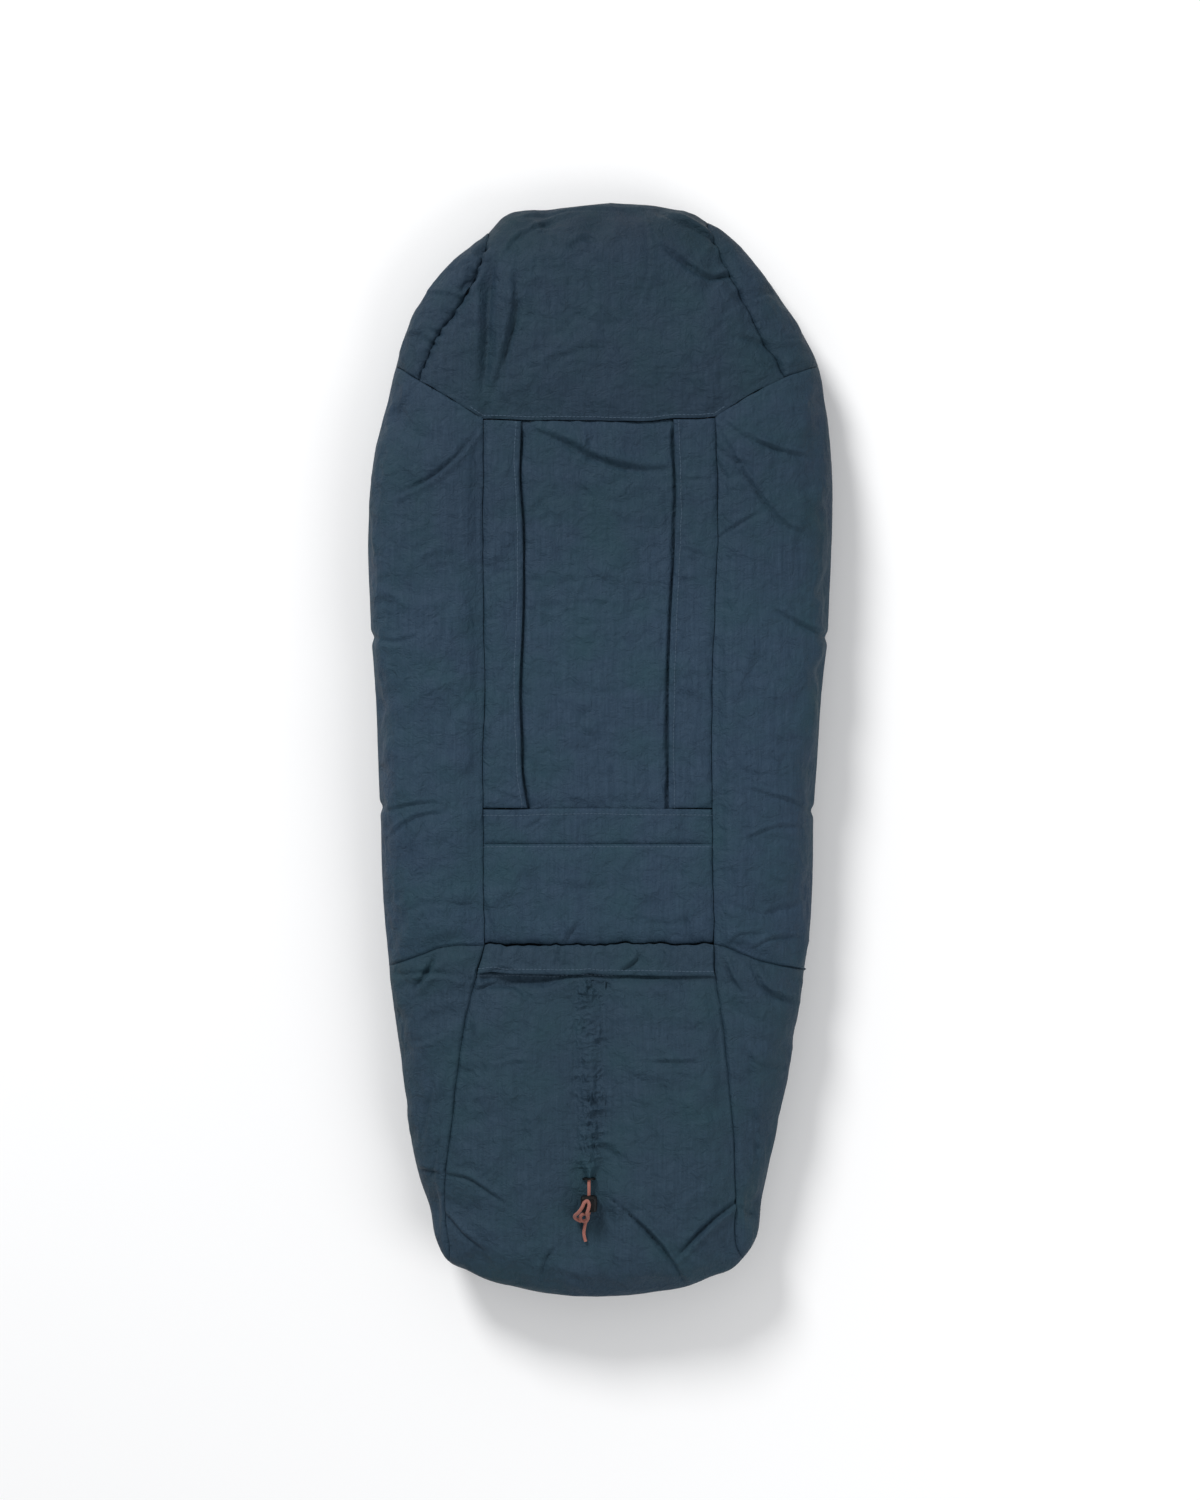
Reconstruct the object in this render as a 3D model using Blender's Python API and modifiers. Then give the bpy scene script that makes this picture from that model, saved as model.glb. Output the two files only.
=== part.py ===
# Stroller footmuff lying on its front, back up. Metres, +Z up, +Y to the head, floor at z = 0.
# Padded panels are sewn edge to edge into a shell that wraps round to two zips underneath.
from math import asin, cos, exp, pi, sin

import bmesh
import bpy
import numpy as np
from mathutils import Matrix, Vector

for old in list(bpy.data.objects):
    bpy.data.objects.remove(old)

# Overall size of the padded shell
shell_length = 1.000
shell_half_width = 0.2145
back_height = 0.080
head_y = 0.5 * shell_length
foot_y = -0.5 * shell_length

# Rounding of the shell: from the back down to its widest line, and from there to the floor
side_round = 0.075
edge_height = 0.034
under_round = 0.030
head_round_length = 0.260
foot_round_length = 0.050
toe_edge_height = 0.054
toe_lift = 0.0325
toe_rise_length = 0.058
toe_lifted_length = 0.032
toe_rise_end_y = foot_y + toe_lifted_length
toe_rise_start_y = toe_rise_end_y + toe_rise_length
top_round_power_share = 2.4
head_round_power_share = 2.2

# Panels: thickness of outer cloth and wadding, how far a seam is drawn in, and the gap at a seam
panel_thickness = 0.008
pouch_thickness = 0.005
seam_draw = 0.003
seam_roll = 0.0075
seam_gap = 0.0004
close_gap = 0.0003
floor_cut = 0.0005

# Seam places
side_seam_share = 0.48951
side_seam_x = side_seam_share * shell_half_width
hood_length = 0.204
hood_seam_y = head_y - hood_length
shoulder_length = 0.155
shoulder_y = head_y - shoulder_length
foot_length = 0.322
waist_seam_y = foot_y + foot_length
waist_edge_drop = 0.022
waist_edge_y = waist_seam_y - waist_edge_drop
wing_tip_length = 0.027
wing_tip_y = head_y - wing_tip_length
wing_foot_share = 0.74592
wing_foot_x = wing_foot_share * shell_half_width
curved_seam_gap = 0.0012
toe_corner_gap = 0.0040

# Flaps over the harness slots and the crotch slot, and the band over the pouch mouth
flap_thickness = 0.0036
flap_recess = 0.0045
flap_width = 0.036
flap_free_x = side_seam_x - flap_width
flap_top_gap = 0.0035
flap_top_y = hood_seam_y - flap_top_gap
seat_length = 0.0915
crotch_sewn_y = waist_seam_y + seat_length
crotch_flap_length = 0.0315
crotch_free_y = crotch_sewn_y + crotch_flap_length
flap_bottom_gap = 0.0020
flap_bottom_y = crotch_free_y + flap_bottom_gap
flap_end_gap = 0.0015
band_length = 0.0275
band_free_y = waist_seam_y - band_length
band_side_gap = 0.0005
band_half_width = side_seam_x - band_side_gap

# Slots through the back
slot_width = 0.012
slot_seam_margin = 0.013
slot_outer_x = side_seam_x - slot_seam_margin
slot_inner_x = slot_outer_x - slot_width
crotch_slot_margin = 0.0105
crotch_slot_bottom_y = crotch_sewn_y + crotch_slot_margin
crotch_slot_top_y = crotch_slot_bottom_y + slot_width
crotch_slot_half = 0.060

# Layers under the back panel, from the outside in
back_panel_thickness = 0.0070
insulation_thickness = 0.0100
lining_thickness = 0.0022
lining_gap = 0.0011
insulation_overlap = 0.030
insulation_half_width = side_seam_x + insulation_overlap
insulation_end_margin = 0.008
insulation_top_y = hood_seam_y - insulation_end_margin
lining_margin = 0.005
lining_half_width = insulation_half_width - lining_margin

# Foot pouch
pouch_mouth_gap = 0.0055
pouch_mouth_y = band_free_y - pouch_mouth_gap
pouch_depth = 0.0120
foot_back_thickness = 0.0080
foot_back_overlap = 0.013
foot_back_half_width = side_seam_x + foot_back_overlap
foot_back_end_margin = 0.034
foot_back_end_y = foot_y + foot_back_end_margin

# Front cover
cover_hinge_margin = 0.030
cover_hinge_y = foot_y + cover_hinge_margin
cover_hinge_z = 0.0153
cover_foot_gap = 0.0020
cover_foot_y = cover_hinge_y + cover_foot_gap
face_opening_length = 0.300
cover_top_y = head_y - face_opening_length
cover_floor_gap = 0.0005
cover_panel_thickness = 0.0120
cover_insulation_thickness = 0.0095
cover_lining_thickness = 0.0022
cover_binding_width = 0.0050
cover_channel_count = 4

# Zips: the line between the half chains, and their sizes
zip_foot_margin = 0.070
zip_foot_y = foot_y + zip_foot_margin
zip_top_margin = 0.0045
zip_top_y = cover_top_y - zip_top_margin
zip_foot_share = 0.55012
zip_top_share = 0.72727
zip_foot_x = zip_foot_share * shell_half_width
zip_top_x = zip_top_share * shell_half_width
zip_height = 0.00525
zip_valley_half = 0.0050
tape_thickness = 0.0008
coil_height = 0.0024
coil_width = 0.0015
chain_half_gap = 0.0009
slider_length = 0.0120
slider_half_width = 0.0041
slider_plate = 0.0010
slider_clearance = 0.0003
slider_post_width = 0.0012
slider_post_length = 0.0030
slider_ear_length = 0.0032
slider_ear_width = 0.0010
pull_length = 0.0240
pull_half_width = 0.0022
pull_thickness = 0.0012
pull_pin_radius = 0.0005
stop_length = 0.0030

# Binding of the face opening
binding_width = 0.0040
binding_height = 0.0060
under_inset = 0.052

# Drawcord, its tunnel and its lock
cord_diameter = 0.0030
cord_x = -0.0100
channel_width = 0.0180
channel_base = 0.0030
channel_wall = 0.0008
channel_mouth_gap = 0.0040
channel_length = 0.1740
channel_top_y = pouch_mouth_y - channel_mouth_gap
channel_bottom_y = channel_top_y - channel_length
bore_clearance = 0.0004
eyelet_width = 0.0120
eyelet_length = 0.0016
lock_size = 0.0150
lock_height = 0.0130
lock_floor = 0.0010
lock_corner = 0.0028
lock_distance = 0.0232
lock_y = channel_bottom_y - lock_distance
lock_x = cord_x
plunger_radius = 0.0040
plunger_travel = 0.0022
plunger_wall = 0.0008
button_radius = 0.0052
button_height = 0.0028
spring_wire = 0.0006
spring_radius = 0.0024
spring_turns = 3
knot_radius = 0.0036
overrun = 0.0050

parts = bpy.data.collections.new("stroller_footmuff")
cutters = bpy.data.collections.new("footmuff_cutters")
bpy.context.scene.collection.children.link(parts)
bpy.context.scene.collection.children.link(cutters)


# Materials: one for each sub-part, with its colour, roughness and metallic value
shell_blue = (0.032, 0.058, 0.085)
hood_blue = (0.030, 0.051, 0.076)
fleece_grey = (0.20, 0.22, 0.24)
wadding_white = (0.75, 0.75, 0.72)
zip_black = (0.012, 0.013, 0.015)
slider_metal = (0.10, 0.10, 0.11)
cord_coral = (0.55, 0.17, 0.11)
lock_black = (0.010, 0.010, 0.011)
spring_steel = (0.55, 0.55, 0.56)


def make_material(name, colour, roughness, metallic=0.0):
    material = bpy.data.materials.new(name)
    material.use_nodes = True
    shader = material.node_tree.nodes["Principled BSDF"]
    shader.inputs["Base Color"].default_value = (*colour, 1.0)
    shader.inputs["Roughness"].default_value = roughness
    shader.inputs["Metallic"].default_value = metallic
    return material


def add_part(name, mesh, colour, roughness=0.75, metallic=0.0, origin=(0, 0, 0)):
    """Puts a mesh given in world places into the part, with its origin at a chosen point."""
    mesh.transform(Matrix.Translation(-Vector(origin)))
    part = bpy.data.objects.new(name, mesh)
    part.location = origin
    part.data.materials.append(make_material(name, colour, roughness, metallic))
    parts.objects.link(part)
    return part


def as_cutter(part):
    """Moves an object to the cutters, where it shows as wire and isn't built."""
    parts.objects.unlink(part)
    cutters.objects.link(part)
    part.hide_render = True
    part.display_type = 'WIRE'
    return part


def combine(part, other, operation):
    """Cuts another object out of a part, or joins it on."""
    modifier = part.modifiers.new(other.name, 'BOOLEAN')
    modifier.operation = operation
    modifier.object = as_cutter(other)


def round_edges(part, width, segments=2):
    bevel = part.modifiers.new("rounded edges", 'BEVEL')
    bevel.width = width
    bevel.segments = segments
    bevel.limit_method = 'ANGLE'


def mesh_from(work):
    mesh = bpy.data.meshes.new("form")
    work.to_mesh(mesh)
    work.free()
    return mesh


# Plan shape of the shell
def smooth_value(table, place):
    """Smooth curve through a table of places and values."""
    places = np.array([row[0] for row in table])
    values = np.array([row[1] for row in table])
    slopes = np.gradient(values, places)
    place = min(max(place, places[0]), places[-1])
    index = min(int(np.searchsorted(places, place, side="right")) - 1, len(places) - 2)
    run = places[index + 1] - places[index]
    share = (place - places[index]) / run
    rise = values[index + 1] - values[index]
    bend = share * (1 - share)
    start_turn = run * slopes[index] - rise
    end_turn = rise - run * slopes[index + 1]
    return values[index] + share * rise + bend * ((1 - share) * start_turn + share * end_turn)


# Half width before the ends are rounded: share of the length from the foot, share of the half width
body_width_shares = [
    (0.00, 0.657), (0.05, 0.685), (0.18, 0.807), (0.27, 0.878), (0.35, 0.915),
    (0.50, 0.948), (0.69, 0.995), (0.85, 0.985), (1.00, 0.970),
]


def end_round(distance, length, power):
    """Rounds an end: 0 at the very end, 1 from a distance inwards."""
    reach = min(max(distance / length, 0.0), 1.0)
    return (1 - (1 - reach) ** power) ** (1 / power)


def half_width(y):
    body = shell_half_width * smooth_value(body_width_shares, (y - foot_y) / shell_length)
    head = end_round(head_y - y, head_round_length, head_round_power_share)
    foot = end_round(y - foot_y, foot_round_length, 2)
    return body * head * foot


outline_y = foot_y + shell_length * (0.5 - 0.5 * np.cos(np.linspace(0, pi, 161)))
outline_x = np.array([half_width(y) for y in outline_y])
widest = int(np.argmax(outline_x))


def head_edge_y(x):
    """Height of the outline's head half at a distance from the middle."""
    return float(np.interp(-abs(x), -outline_x[widest:], outline_y[widest:]))


def foot_edge_y(x):
    return float(np.interp(abs(x), outline_x[:widest + 1], outline_y[:widest + 1]))


def inset_at(x, y):
    """Rough distance inwards from the outline."""
    smallest = close_gap * 0.01
    sideways = max(half_width(y) - abs(x), smallest)
    to_head = max(head_edge_y(x) - y, smallest)
    to_foot = max(y - foot_edge_y(x), smallest)
    return (sideways ** -2 + to_head ** -2 + to_foot ** -2) ** -0.5


def ease(share):
    share = min(max(share, 0.0), 1.0)
    return share * share * (3 - 2 * share)


def toe_share(y):
    """0 along the body, 1 at the toe, where the shell lifts off the floor."""
    return ease((toe_rise_start_y - y) / (toe_rise_start_y - toe_rise_end_y))


def widest_height(y):
    return edge_height + (toe_edge_height - edge_height) * toe_share(y)


def top_height(x, y):
    low = widest_height(y)
    round_share = end_round(inset_at(x, y), side_round, top_round_power_share)
    return low + (back_height - low) * round_share


def zip_x(y):
    """Straight line between the half chains, right side."""
    share = (y - zip_foot_y) / (zip_top_y - zip_foot_y)
    return zip_foot_x + share * (zip_top_x - zip_foot_x)


# Panels: a grid between four plan curves, laid on the shell and wrapped under it
def seam_path(table, start_y, end_y, shift, side=1):
    """Seam given as x for each y, moved sideways by half the gap between its panels."""
    def path(share):
        y = start_y + share * (end_y - start_y)
        return Vector((side * (smooth_value(table, y) + shift), y))
    return path


def straight(start, end):
    start = Vector(start)
    end = Vector(end)
    return lambda share: start.lerp(end, share)


def outline_path(start_y, end_y, side=1):
    """The shell's outline between two places along one side."""
    return lambda share: Vector((side * half_width(start_y + share * (end_y - start_y)),
                                 start_y + share * (end_y - start_y)))


def between(inner, outer, start, end):
    """Plan places in the field of four curves: inner and outer run along, start and end across."""
    def place(along, across):
        ruled = inner(along).lerp(outer(along), across) + start(across).lerp(end(across), along)
        corners = start(0).lerp(end(0), along).lerp(start(1).lerp(end(1), along), across)
        return ruled - corners
    return place


def laid_on_back(plan):
    def surface(along, across):
        spot = plan(along, across)
        return Vector((spot.x, spot.y, top_height(spot.x, spot.y)))
    return surface


turn_share = 0.6
roll_share = 0.75


def wrapped(plan, under_edge):
    """Lays a panel on the back, then from its outer curve (across = 1) round to the under edge."""
    def surface(along, across):
        if across <= 1:
            return laid_on_back(plan)(along, across)
        outer = plan(along, 1)
        edge, low = under_edge(outer)
        reach = (edge - outer).length
        roll = min(under_round, roll_share * reach)
        turn = min((across - 1) / turn_share, 1) * pi / 2
        inward = roll * (1 - cos(turn))
        if across - 1 > turn_share:
            inward += (reach - roll) * (across - 1 - turn_share) / (1 - turn_share)
        spot = outer.lerp(edge, inward / reach)
        high = widest_height(outer.y)
        return Vector((spot.x, spot.y, low + (high - low) * (1 - sin(turn))))
    return surface


# Steps of the wrapped part of a panel, from the outline (1) to its under edge (2)
under_shares = [1.15, 1.30, 1.45, 1.60, 1.76, 1.90, 2.00]


def spaced(count, end=1.0, start=0.0):
    """Grid places, closer together near both ends."""
    return [start + (end - start) * (0.5 - 0.5 * cos(pi * step / count)) for step in range(count + 1)]


def panel_mesh(surface, alongs, acrosses, sink=0.0, side=1):
    """Grid on a surface, drawn in along its edges. Its faces point outwards."""
    spots = np.array([[surface(a, b) for b in acrosses] for a in alongs])
    along_step = np.gradient(spots, axis=0)
    across_step = np.gradient(spots, axis=1)
    normals = np.cross(across_step, along_step)
    normals /= np.linalg.norm(normals, axis=2, keepdims=True)
    if normals[len(alongs) // 2, 2, 2] < 0:
        normals = -normals
    edge = np.ones(spots.shape[:2])
    for axis in (0, 1):
        steps = np.linalg.norm(np.diff(spots, axis=axis), axis=2)
        zero = np.zeros_like(np.take(steps, [0], axis=axis))
        way = np.concatenate([zero, np.cumsum(steps, axis=axis)], axis=axis)
        whole = np.take(way, [-1], axis=axis)
        edge *= 1 - np.exp(-np.minimum(way, whole - way) / seam_roll)
    inward = sink + seam_draw * (1 - edge)
    spots = spots - normals * inward[:, :, None]
    work = bmesh.new()
    rows = len(acrosses)
    columns = len(alongs)
    bmesh.ops.create_grid(work, x_segments=columns - 1, y_segments=rows - 1, size=0.5)
    work.verts.ensure_lookup_table()
    for index, vert in enumerate(work.verts):
        vert.co = spots[index % columns, index // columns]
        if vert.co.z < floor_cut + sink:
            vert.co.z = sink
        vert.co.x *= side
    work.normal_update()
    outward = 0.0
    for index, vert in enumerate(work.verts):
        wanted = normals[index % columns, index // columns] * np.array([side, 1, 1])
        outward += vert.normal.dot(Vector(wanted))
    if outward < 0:
        bmesh.ops.reverse_faces(work, faces=work.faces[:])
    return mesh_from(work)


def padded(part, thickness):
    """Gives a panel its thickness, inwards from its outer surface."""
    solid = part.modifiers.new("wadding", 'SOLIDIFY')
    solid.thickness = thickness
    solid.offset = -1
    part.data.shade_smooth()
    return part


def side_name(side):
    return "right" if side > 0 else "left"


gap = 0.5 * seam_gap


# Hood: a puffy middle panel with a rolled rim, between two tapered wings
wing_tip_x = half_width(wing_tip_y)
shoulder_x = half_width(shoulder_y)


def shoulder_line(x):
    """Cross seam in the middle, then straight up the shoulder to the outline."""
    rise = max(abs(x) - side_seam_x, 0) / (shoulder_x - side_seam_x)
    return hood_seam_y + rise * (shoulder_y - hood_seam_y)


wing_foot_y = shoulder_line(wing_foot_x)
wing_seam_shares = [(0.0, 0.0), (0.2966, 0.1973), (0.4944, 0.4085), (0.7068, 0.5915), (1.0, 1.0)]
wing_rise = wing_tip_y - wing_foot_y
wing_lean = wing_tip_x - wing_foot_x
wing_seam = [(wing_foot_y + along * wing_rise, wing_foot_x + across * wing_lean)
             for along, across in wing_seam_shares]


def shoulder_path(start_x, end_x, shift):
    def path(share):
        x = start_x + share * (end_x - start_x)
        return Vector((x, shoulder_line(x) + shift))
    return path


curved_gap = 0.5 * curved_seam_gap


def hood_under_edge(outer):
    step = seam_gap
    ahead = head_edge_y(abs(outer.x) + step) - head_edge_y(max(abs(outer.x) - step, 0))
    tangent = Vector((2 * step, ahead)).normalized()
    inward = Vector((tangent.y, -tangent.x))
    if outer.x < 0:
        inward.x = -inward.x
    return outer + inward * under_inset, 0.0


hood_bottom = shoulder_path(curved_gap - wing_foot_x, wing_foot_x - curved_gap, gap)


def hood_top(share):
    x = (wing_tip_x - curved_gap) * (2 * share - 1)
    return Vector((x, head_edge_y(x)))


def matched(path, start, end):
    """Moves a path's ends onto two corners."""
    def moved(share):
        return path(share) + (start - path(0)) * (1 - share) + (end - path(1)) * share
    return moved


hood_plan = between(
    hood_bottom, hood_top,
    matched(seam_path(wing_seam, wing_foot_y, wing_tip_y, -curved_gap, -1), hood_bottom(0), hood_top(0)),
    matched(seam_path(wing_seam, wing_foot_y, wing_tip_y, -curved_gap), hood_bottom(1), hood_top(1)),
)
hood_surface = wrapped(hood_plan, hood_under_edge)
hood_alongs = spaced(14)
hood_acrosses = spaced(9) + under_shares
hood_mesh = panel_mesh(hood_surface, hood_alongs, hood_acrosses)
padded(add_part("hood_panel", hood_mesh, hood_blue), panel_thickness)

lining_sink = panel_thickness + lining_gap
hood_lining_mesh = panel_mesh(hood_surface, spaced(14, 0.95, 0.05), spaced(9, 0.90, 0.04), sink=lining_sink)
padded(add_part("hood_lining", hood_lining_mesh, fleece_grey, 0.95), lining_thickness)


def wing_plan():
    start_y = wing_tip_y - 2 * curved_seam_gap
    inner = seam_path(wing_seam, start_y, wing_foot_y + gap, curved_gap)
    outer = outline_path(start_y, shoulder_y + gap)
    shoulder = shoulder_path(wing_foot_x + gap, outer(1).x, gap)
    return between(inner, outer, straight(inner(0), outer(0)), matched(shoulder, inner(1), outer(1)))


def wing_under_edge(outer):
    edge, low = hood_under_edge(outer)
    share = ease((shoulder_y + under_inset - outer.y) / under_inset)
    flat = Vector((outer.x - under_inset, outer.y))
    return edge.lerp(flat, share), low


for side in (-1, 1):
    surface = wrapped(wing_plan(), wing_under_edge)
    mesh = panel_mesh(surface, spaced(9), spaced(5) + under_shares, side=side)
    padded(add_part("hood_wing_" + side_name(side), mesh, hood_blue), panel_thickness)


# Side panels: from the side seam over the edge and round to the zip underneath
def side_under_edge(outer):
    along_zip = zip_x(outer.y) + zip_valley_half
    by_inset = half_width(outer.y) - under_inset
    share = ease((outer.y - zip_top_y) / (2 * under_inset))
    x = along_zip + share * (by_inset - along_zip)
    return Vector((x, outer.y)), toe_lift * toe_share(outer.y)


def side_plan():
    inner = straight((side_seam_x + gap, waist_seam_y + gap), (side_seam_x + gap, hood_seam_y))
    outer = outline_path(waist_edge_y + gap, shoulder_y - gap)
    shoulder = shoulder_path(side_seam_x + gap, outer(1).x, -gap)
    inner = straight(inner(0), shoulder(0))
    return between(inner, outer, straight(inner(0), outer(0)), matched(shoulder, inner(1), outer(1)))


for side in (-1, 1):
    surface = wrapped(side_plan(), side_under_edge)
    mesh = panel_mesh(surface, spaced(16), spaced(6) + under_shares, side=side)
    padded(add_part("side_panel_" + side_name(side), mesh, shell_blue), panel_thickness)


# Back: the centre panel, recessed under the flaps, with the margins of the slots beside it
back_top = back_height - flap_recess


def slab(name, colour, low, high, crown=0.0, rows=(6, 8), origin=(0, 0, 0)):
    """Flat pad between two corners, its top crowned and drawn in at the edges."""
    low = Vector(low)
    high = Vector(high)
    work = bmesh.new()
    bmesh.ops.create_grid(work, x_segments=rows[0], y_segments=rows[1], size=0.5)
    for vert in work.verts:
        across = 0.5 - 0.5 * cos(pi * (vert.co.x + 0.5))
        along = 0.5 - 0.5 * cos(pi * (vert.co.y + 0.5))
        spot = Vector((low.x + across * (high.x - low.x), low.y + along * (high.y - low.y), high.z))
        to_side = min(spot.x - low.x, high.x - spot.x)
        to_end = min(spot.y - low.y, high.y - spot.y)
        fullness = (1 - exp(-to_side / seam_roll)) * (1 - exp(-to_end / seam_roll))
        vert.co = spot - Vector((0, 0, crown * (1 - fullness)))
    work.normal_update()
    top = work.faces[:]
    made = bmesh.ops.extrude_face_region(work, geom=top, use_keep_orig=True)
    for item in made["geom"]:
        if isinstance(item, bmesh.types.BMVert):
            item.co.z = low.z
    bmesh.ops.recalc_face_normals(work, faces=work.faces[:])
    return add_part(name, mesh_from(work), colour, origin=origin)


def block(name, colour, low, high, roughness=0.75, metallic=0.0, origin=(0, 0, 0)):
    """Box between two corners."""
    low = Vector(low)
    high = Vector(high)
    work = bmesh.new()
    bmesh.ops.create_cube(work, size=1.0)
    bmesh.ops.scale(work, verts=work.verts[:], vec=high - low)
    bmesh.ops.translate(work, verts=work.verts[:], vec=(low + high) / 2)
    return add_part(name, mesh_from(work), colour, roughness, metallic, origin)


slab("back_panel", shell_blue,
     (-slot_inner_x, crotch_slot_top_y, back_top - back_panel_thickness),
     (slot_inner_x, hood_seam_y - gap, back_top), crown=0.5 * seam_draw, rows=(8, 12))

facing_low = back_top - back_panel_thickness
for side in (-1, 1):
    inner = side * slot_outer_x
    outer = side * (side_seam_x - gap)
    block("slot_facing_" + side_name(side), shell_blue,
          (min(inner, outer), crotch_slot_bottom_y, facing_low),
          (max(inner, outer), hood_seam_y - gap, back_top - close_gap))
block("crotch_facing", shell_blue,
      (-slot_outer_x + close_gap, crotch_sewn_y + close_gap, facing_low),
      (slot_outer_x - close_gap, crotch_slot_bottom_y, back_top - close_gap))

slab("seat_panel", shell_blue,
     (-side_seam_x + gap, waist_seam_y + gap, facing_low),
     (side_seam_x - gap, crotch_sewn_y - gap, back_height), crown=0.5 * seam_draw, rows=(8, 6))

foot_back_top_y = waist_seam_y - close_gap
insulation_top = facing_low - close_gap
insulation_low = insulation_top - insulation_thickness
lining_top = insulation_low - close_gap
lining_low = lining_top - lining_thickness
back_insulation = block("back_insulation", wadding_white,
                        (-insulation_half_width, waist_seam_y, insulation_low),
                        (insulation_half_width, insulation_top_y, insulation_top), 0.95)
back_lining = block("back_lining", fleece_grey,
                    (-lining_half_width, waist_seam_y, lining_low),
                    (lining_half_width, insulation_top_y, lining_top), 0.95)
for layer in (back_insulation, back_lining):
    for side in (-1, 1):
        inner = side * slot_inner_x
        outer = side * slot_outer_x
        cut = block(layer.name + "_slot_" + side_name(side), shell_blue,
                    (min(inner, outer), flap_bottom_y, lining_low - overrun),
                    (max(inner, outer), flap_top_y - overrun - overrun, insulation_top + overrun))
        combine(layer, cut, 'DIFFERENCE')
    cut = block(layer.name + "_crotch_slot", shell_blue,
                (-crotch_slot_half, crotch_slot_bottom_y, lining_low - overrun),
                (crotch_slot_half, crotch_slot_top_y, insulation_top + overrun))
    combine(layer, cut, 'DIFFERENCE')

# Flaps, each with its origin on the sewn edge that it lifts about
band_sewn_y = waist_seam_y - close_gap
for side in (-1, 1):
    free = side * flap_free_x
    sewn = side * (side_seam_x - gap)
    slab("harness_flap_" + side_name(side), shell_blue,
         (min(free, sewn), flap_bottom_y + flap_end_gap, back_height - flap_thickness),
         (max(free, sewn), flap_top_y, back_height), rows=(4, 8),
         origin=(sewn, 0.5 * (flap_bottom_y + flap_top_y), back_height))
slab("crotch_flap", shell_blue,
     (-side_seam_x + gap, crotch_sewn_y, back_height - flap_thickness),
     (side_seam_x - gap, crotch_free_y, back_height), rows=(8, 3),
     origin=(0, crotch_sewn_y, back_height))
slab("foot_band", shell_blue,
     (-band_half_width, band_free_y, back_height - flap_thickness),
     (band_half_width, band_sewn_y, back_height), rows=(8, 3),
     origin=(0, band_sewn_y, back_height))


# Foot pouch: a skin with a free upper edge, gussets beside it and a padded wall behind it
toe_corner_y = toe_rise_end_y
foot_seam_shares = [
    (0.0506, 1.248), (0.1479, 1.262), (0.2918, 1.262), (0.4981, 1.219),
    (0.7004, 1.157), (0.9066, 1.095), (1.0, 1.038),
]
foot_seam = [(toe_corner_y, half_width(toe_corner_y))]
foot_seam += [(toe_corner_y + along * (pouch_mouth_y - toe_corner_y), side_seam_x * across)
              for along, across in foot_seam_shares]
foot_seam += [(waist_seam_y, side_seam_x)]
lip_y = cover_hinge_y + 2 * close_gap


def foot_side(side):
    return seam_path(foot_seam, pouch_mouth_y, toe_corner_y, -curved_gap, side)


def pouch_top(share):
    return Vector((foot_side(1)(0).x * (2 * share - 1), pouch_mouth_y))


def pouch_bottom(share):
    corner = half_width(toe_corner_y) - curved_gap
    x = corner * sin((2 * share - 1) * asin(0.95)) / 0.95
    return Vector((x, foot_edge_y(x)))


def pouch_under_edge(outer):
    lip_half = zip_x(toe_corner_y) + zip_valley_half
    return Vector((outer.x * lip_half / half_width(toe_corner_y), lip_y)), toe_lift


pouch_plan = between(
    pouch_top, pouch_bottom,
    matched(foot_side(-1), pouch_top(0), pouch_bottom(0)),
    matched(foot_side(1), pouch_top(1), pouch_bottom(1)),
)
pouch_surface = wrapped(pouch_plan, pouch_under_edge)
pouch_mesh = panel_mesh(pouch_surface, spaced(14), spaced(10) + under_shares)
padded(add_part("foot_panel", pouch_mesh, shell_blue), pouch_thickness)


def gusset_plan():
    end_y = toe_corner_y + toe_corner_gap
    inner = seam_path(foot_seam, waist_seam_y - gap, end_y, curved_gap)
    outer = outline_path(waist_edge_y - gap, end_y)
    return between(inner, outer, straight(inner(0), outer(0)), straight(inner(1), outer(1)))


for side in (-1, 1):
    surface = wrapped(gusset_plan(), side_under_edge)
    mesh = panel_mesh(surface, spaced(12), spaced(5) + under_shares, side=side)
    padded(add_part("foot_gusset_" + side_name(side), mesh, shell_blue), pouch_thickness)

foot_back_top = back_height - pouch_thickness - pouch_depth - seam_draw
foot_back_low = foot_back_top - foot_back_thickness
slab("foot_back", shell_blue,
     (-foot_back_half_width, foot_back_end_y, foot_back_low),
     (foot_back_half_width, foot_back_top_y, foot_back_top), rows=(4, 6))
block("foot_lining", fleece_grey,
      (-foot_back_half_width, foot_back_end_y, foot_back_low - close_gap - lining_thickness),
      (foot_back_half_width, foot_back_top_y, foot_back_low - close_gap), 0.95)


# Binding round the face opening: a folded strip along the hood's under edge
def binding_mesh():
    work = bmesh.new()
    rim = []
    for share in np.linspace(0, 1, 25):
        outer = hood_top(share)
        edge, low = hood_under_edge(outer)
        rim.append(Vector((edge.x, edge.y, low + seam_draw)))
    inset = close_gap + binding_width
    rings = []
    for index, spot in enumerate(rim):
        ahead = rim[min(index + 1, len(rim) - 1)] - rim[max(index - 1, 0)]
        inward = Vector((ahead.y, -ahead.x, 0)).normalized()
        near = spot + inward * close_gap * 2
        far = spot + inward * (close_gap + inset)
        rise = Vector((0, 0, binding_height))
        rings.append([work.verts.new(place) for place in (near, far, far + rise, near + rise)])
    for first, second in zip(rings, rings[1:]):
        for corner in range(4):
            after = (corner + 1) % 4
            work.faces.new((first[corner], first[after], second[after], second[corner]))
    work.faces.new(rings[0])
    work.faces.new(rings[-1])
    bmesh.ops.recalc_face_normals(work, faces=work.faces[:])
    return mesh_from(work)


add_part("hood_binding", binding_mesh(), fleece_grey)


# Front cover: a quilted outer panel, wadding and fleece, with a binding at its top edge
def cover_half(y):
    return zip_x(y) - zip_valley_half


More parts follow.
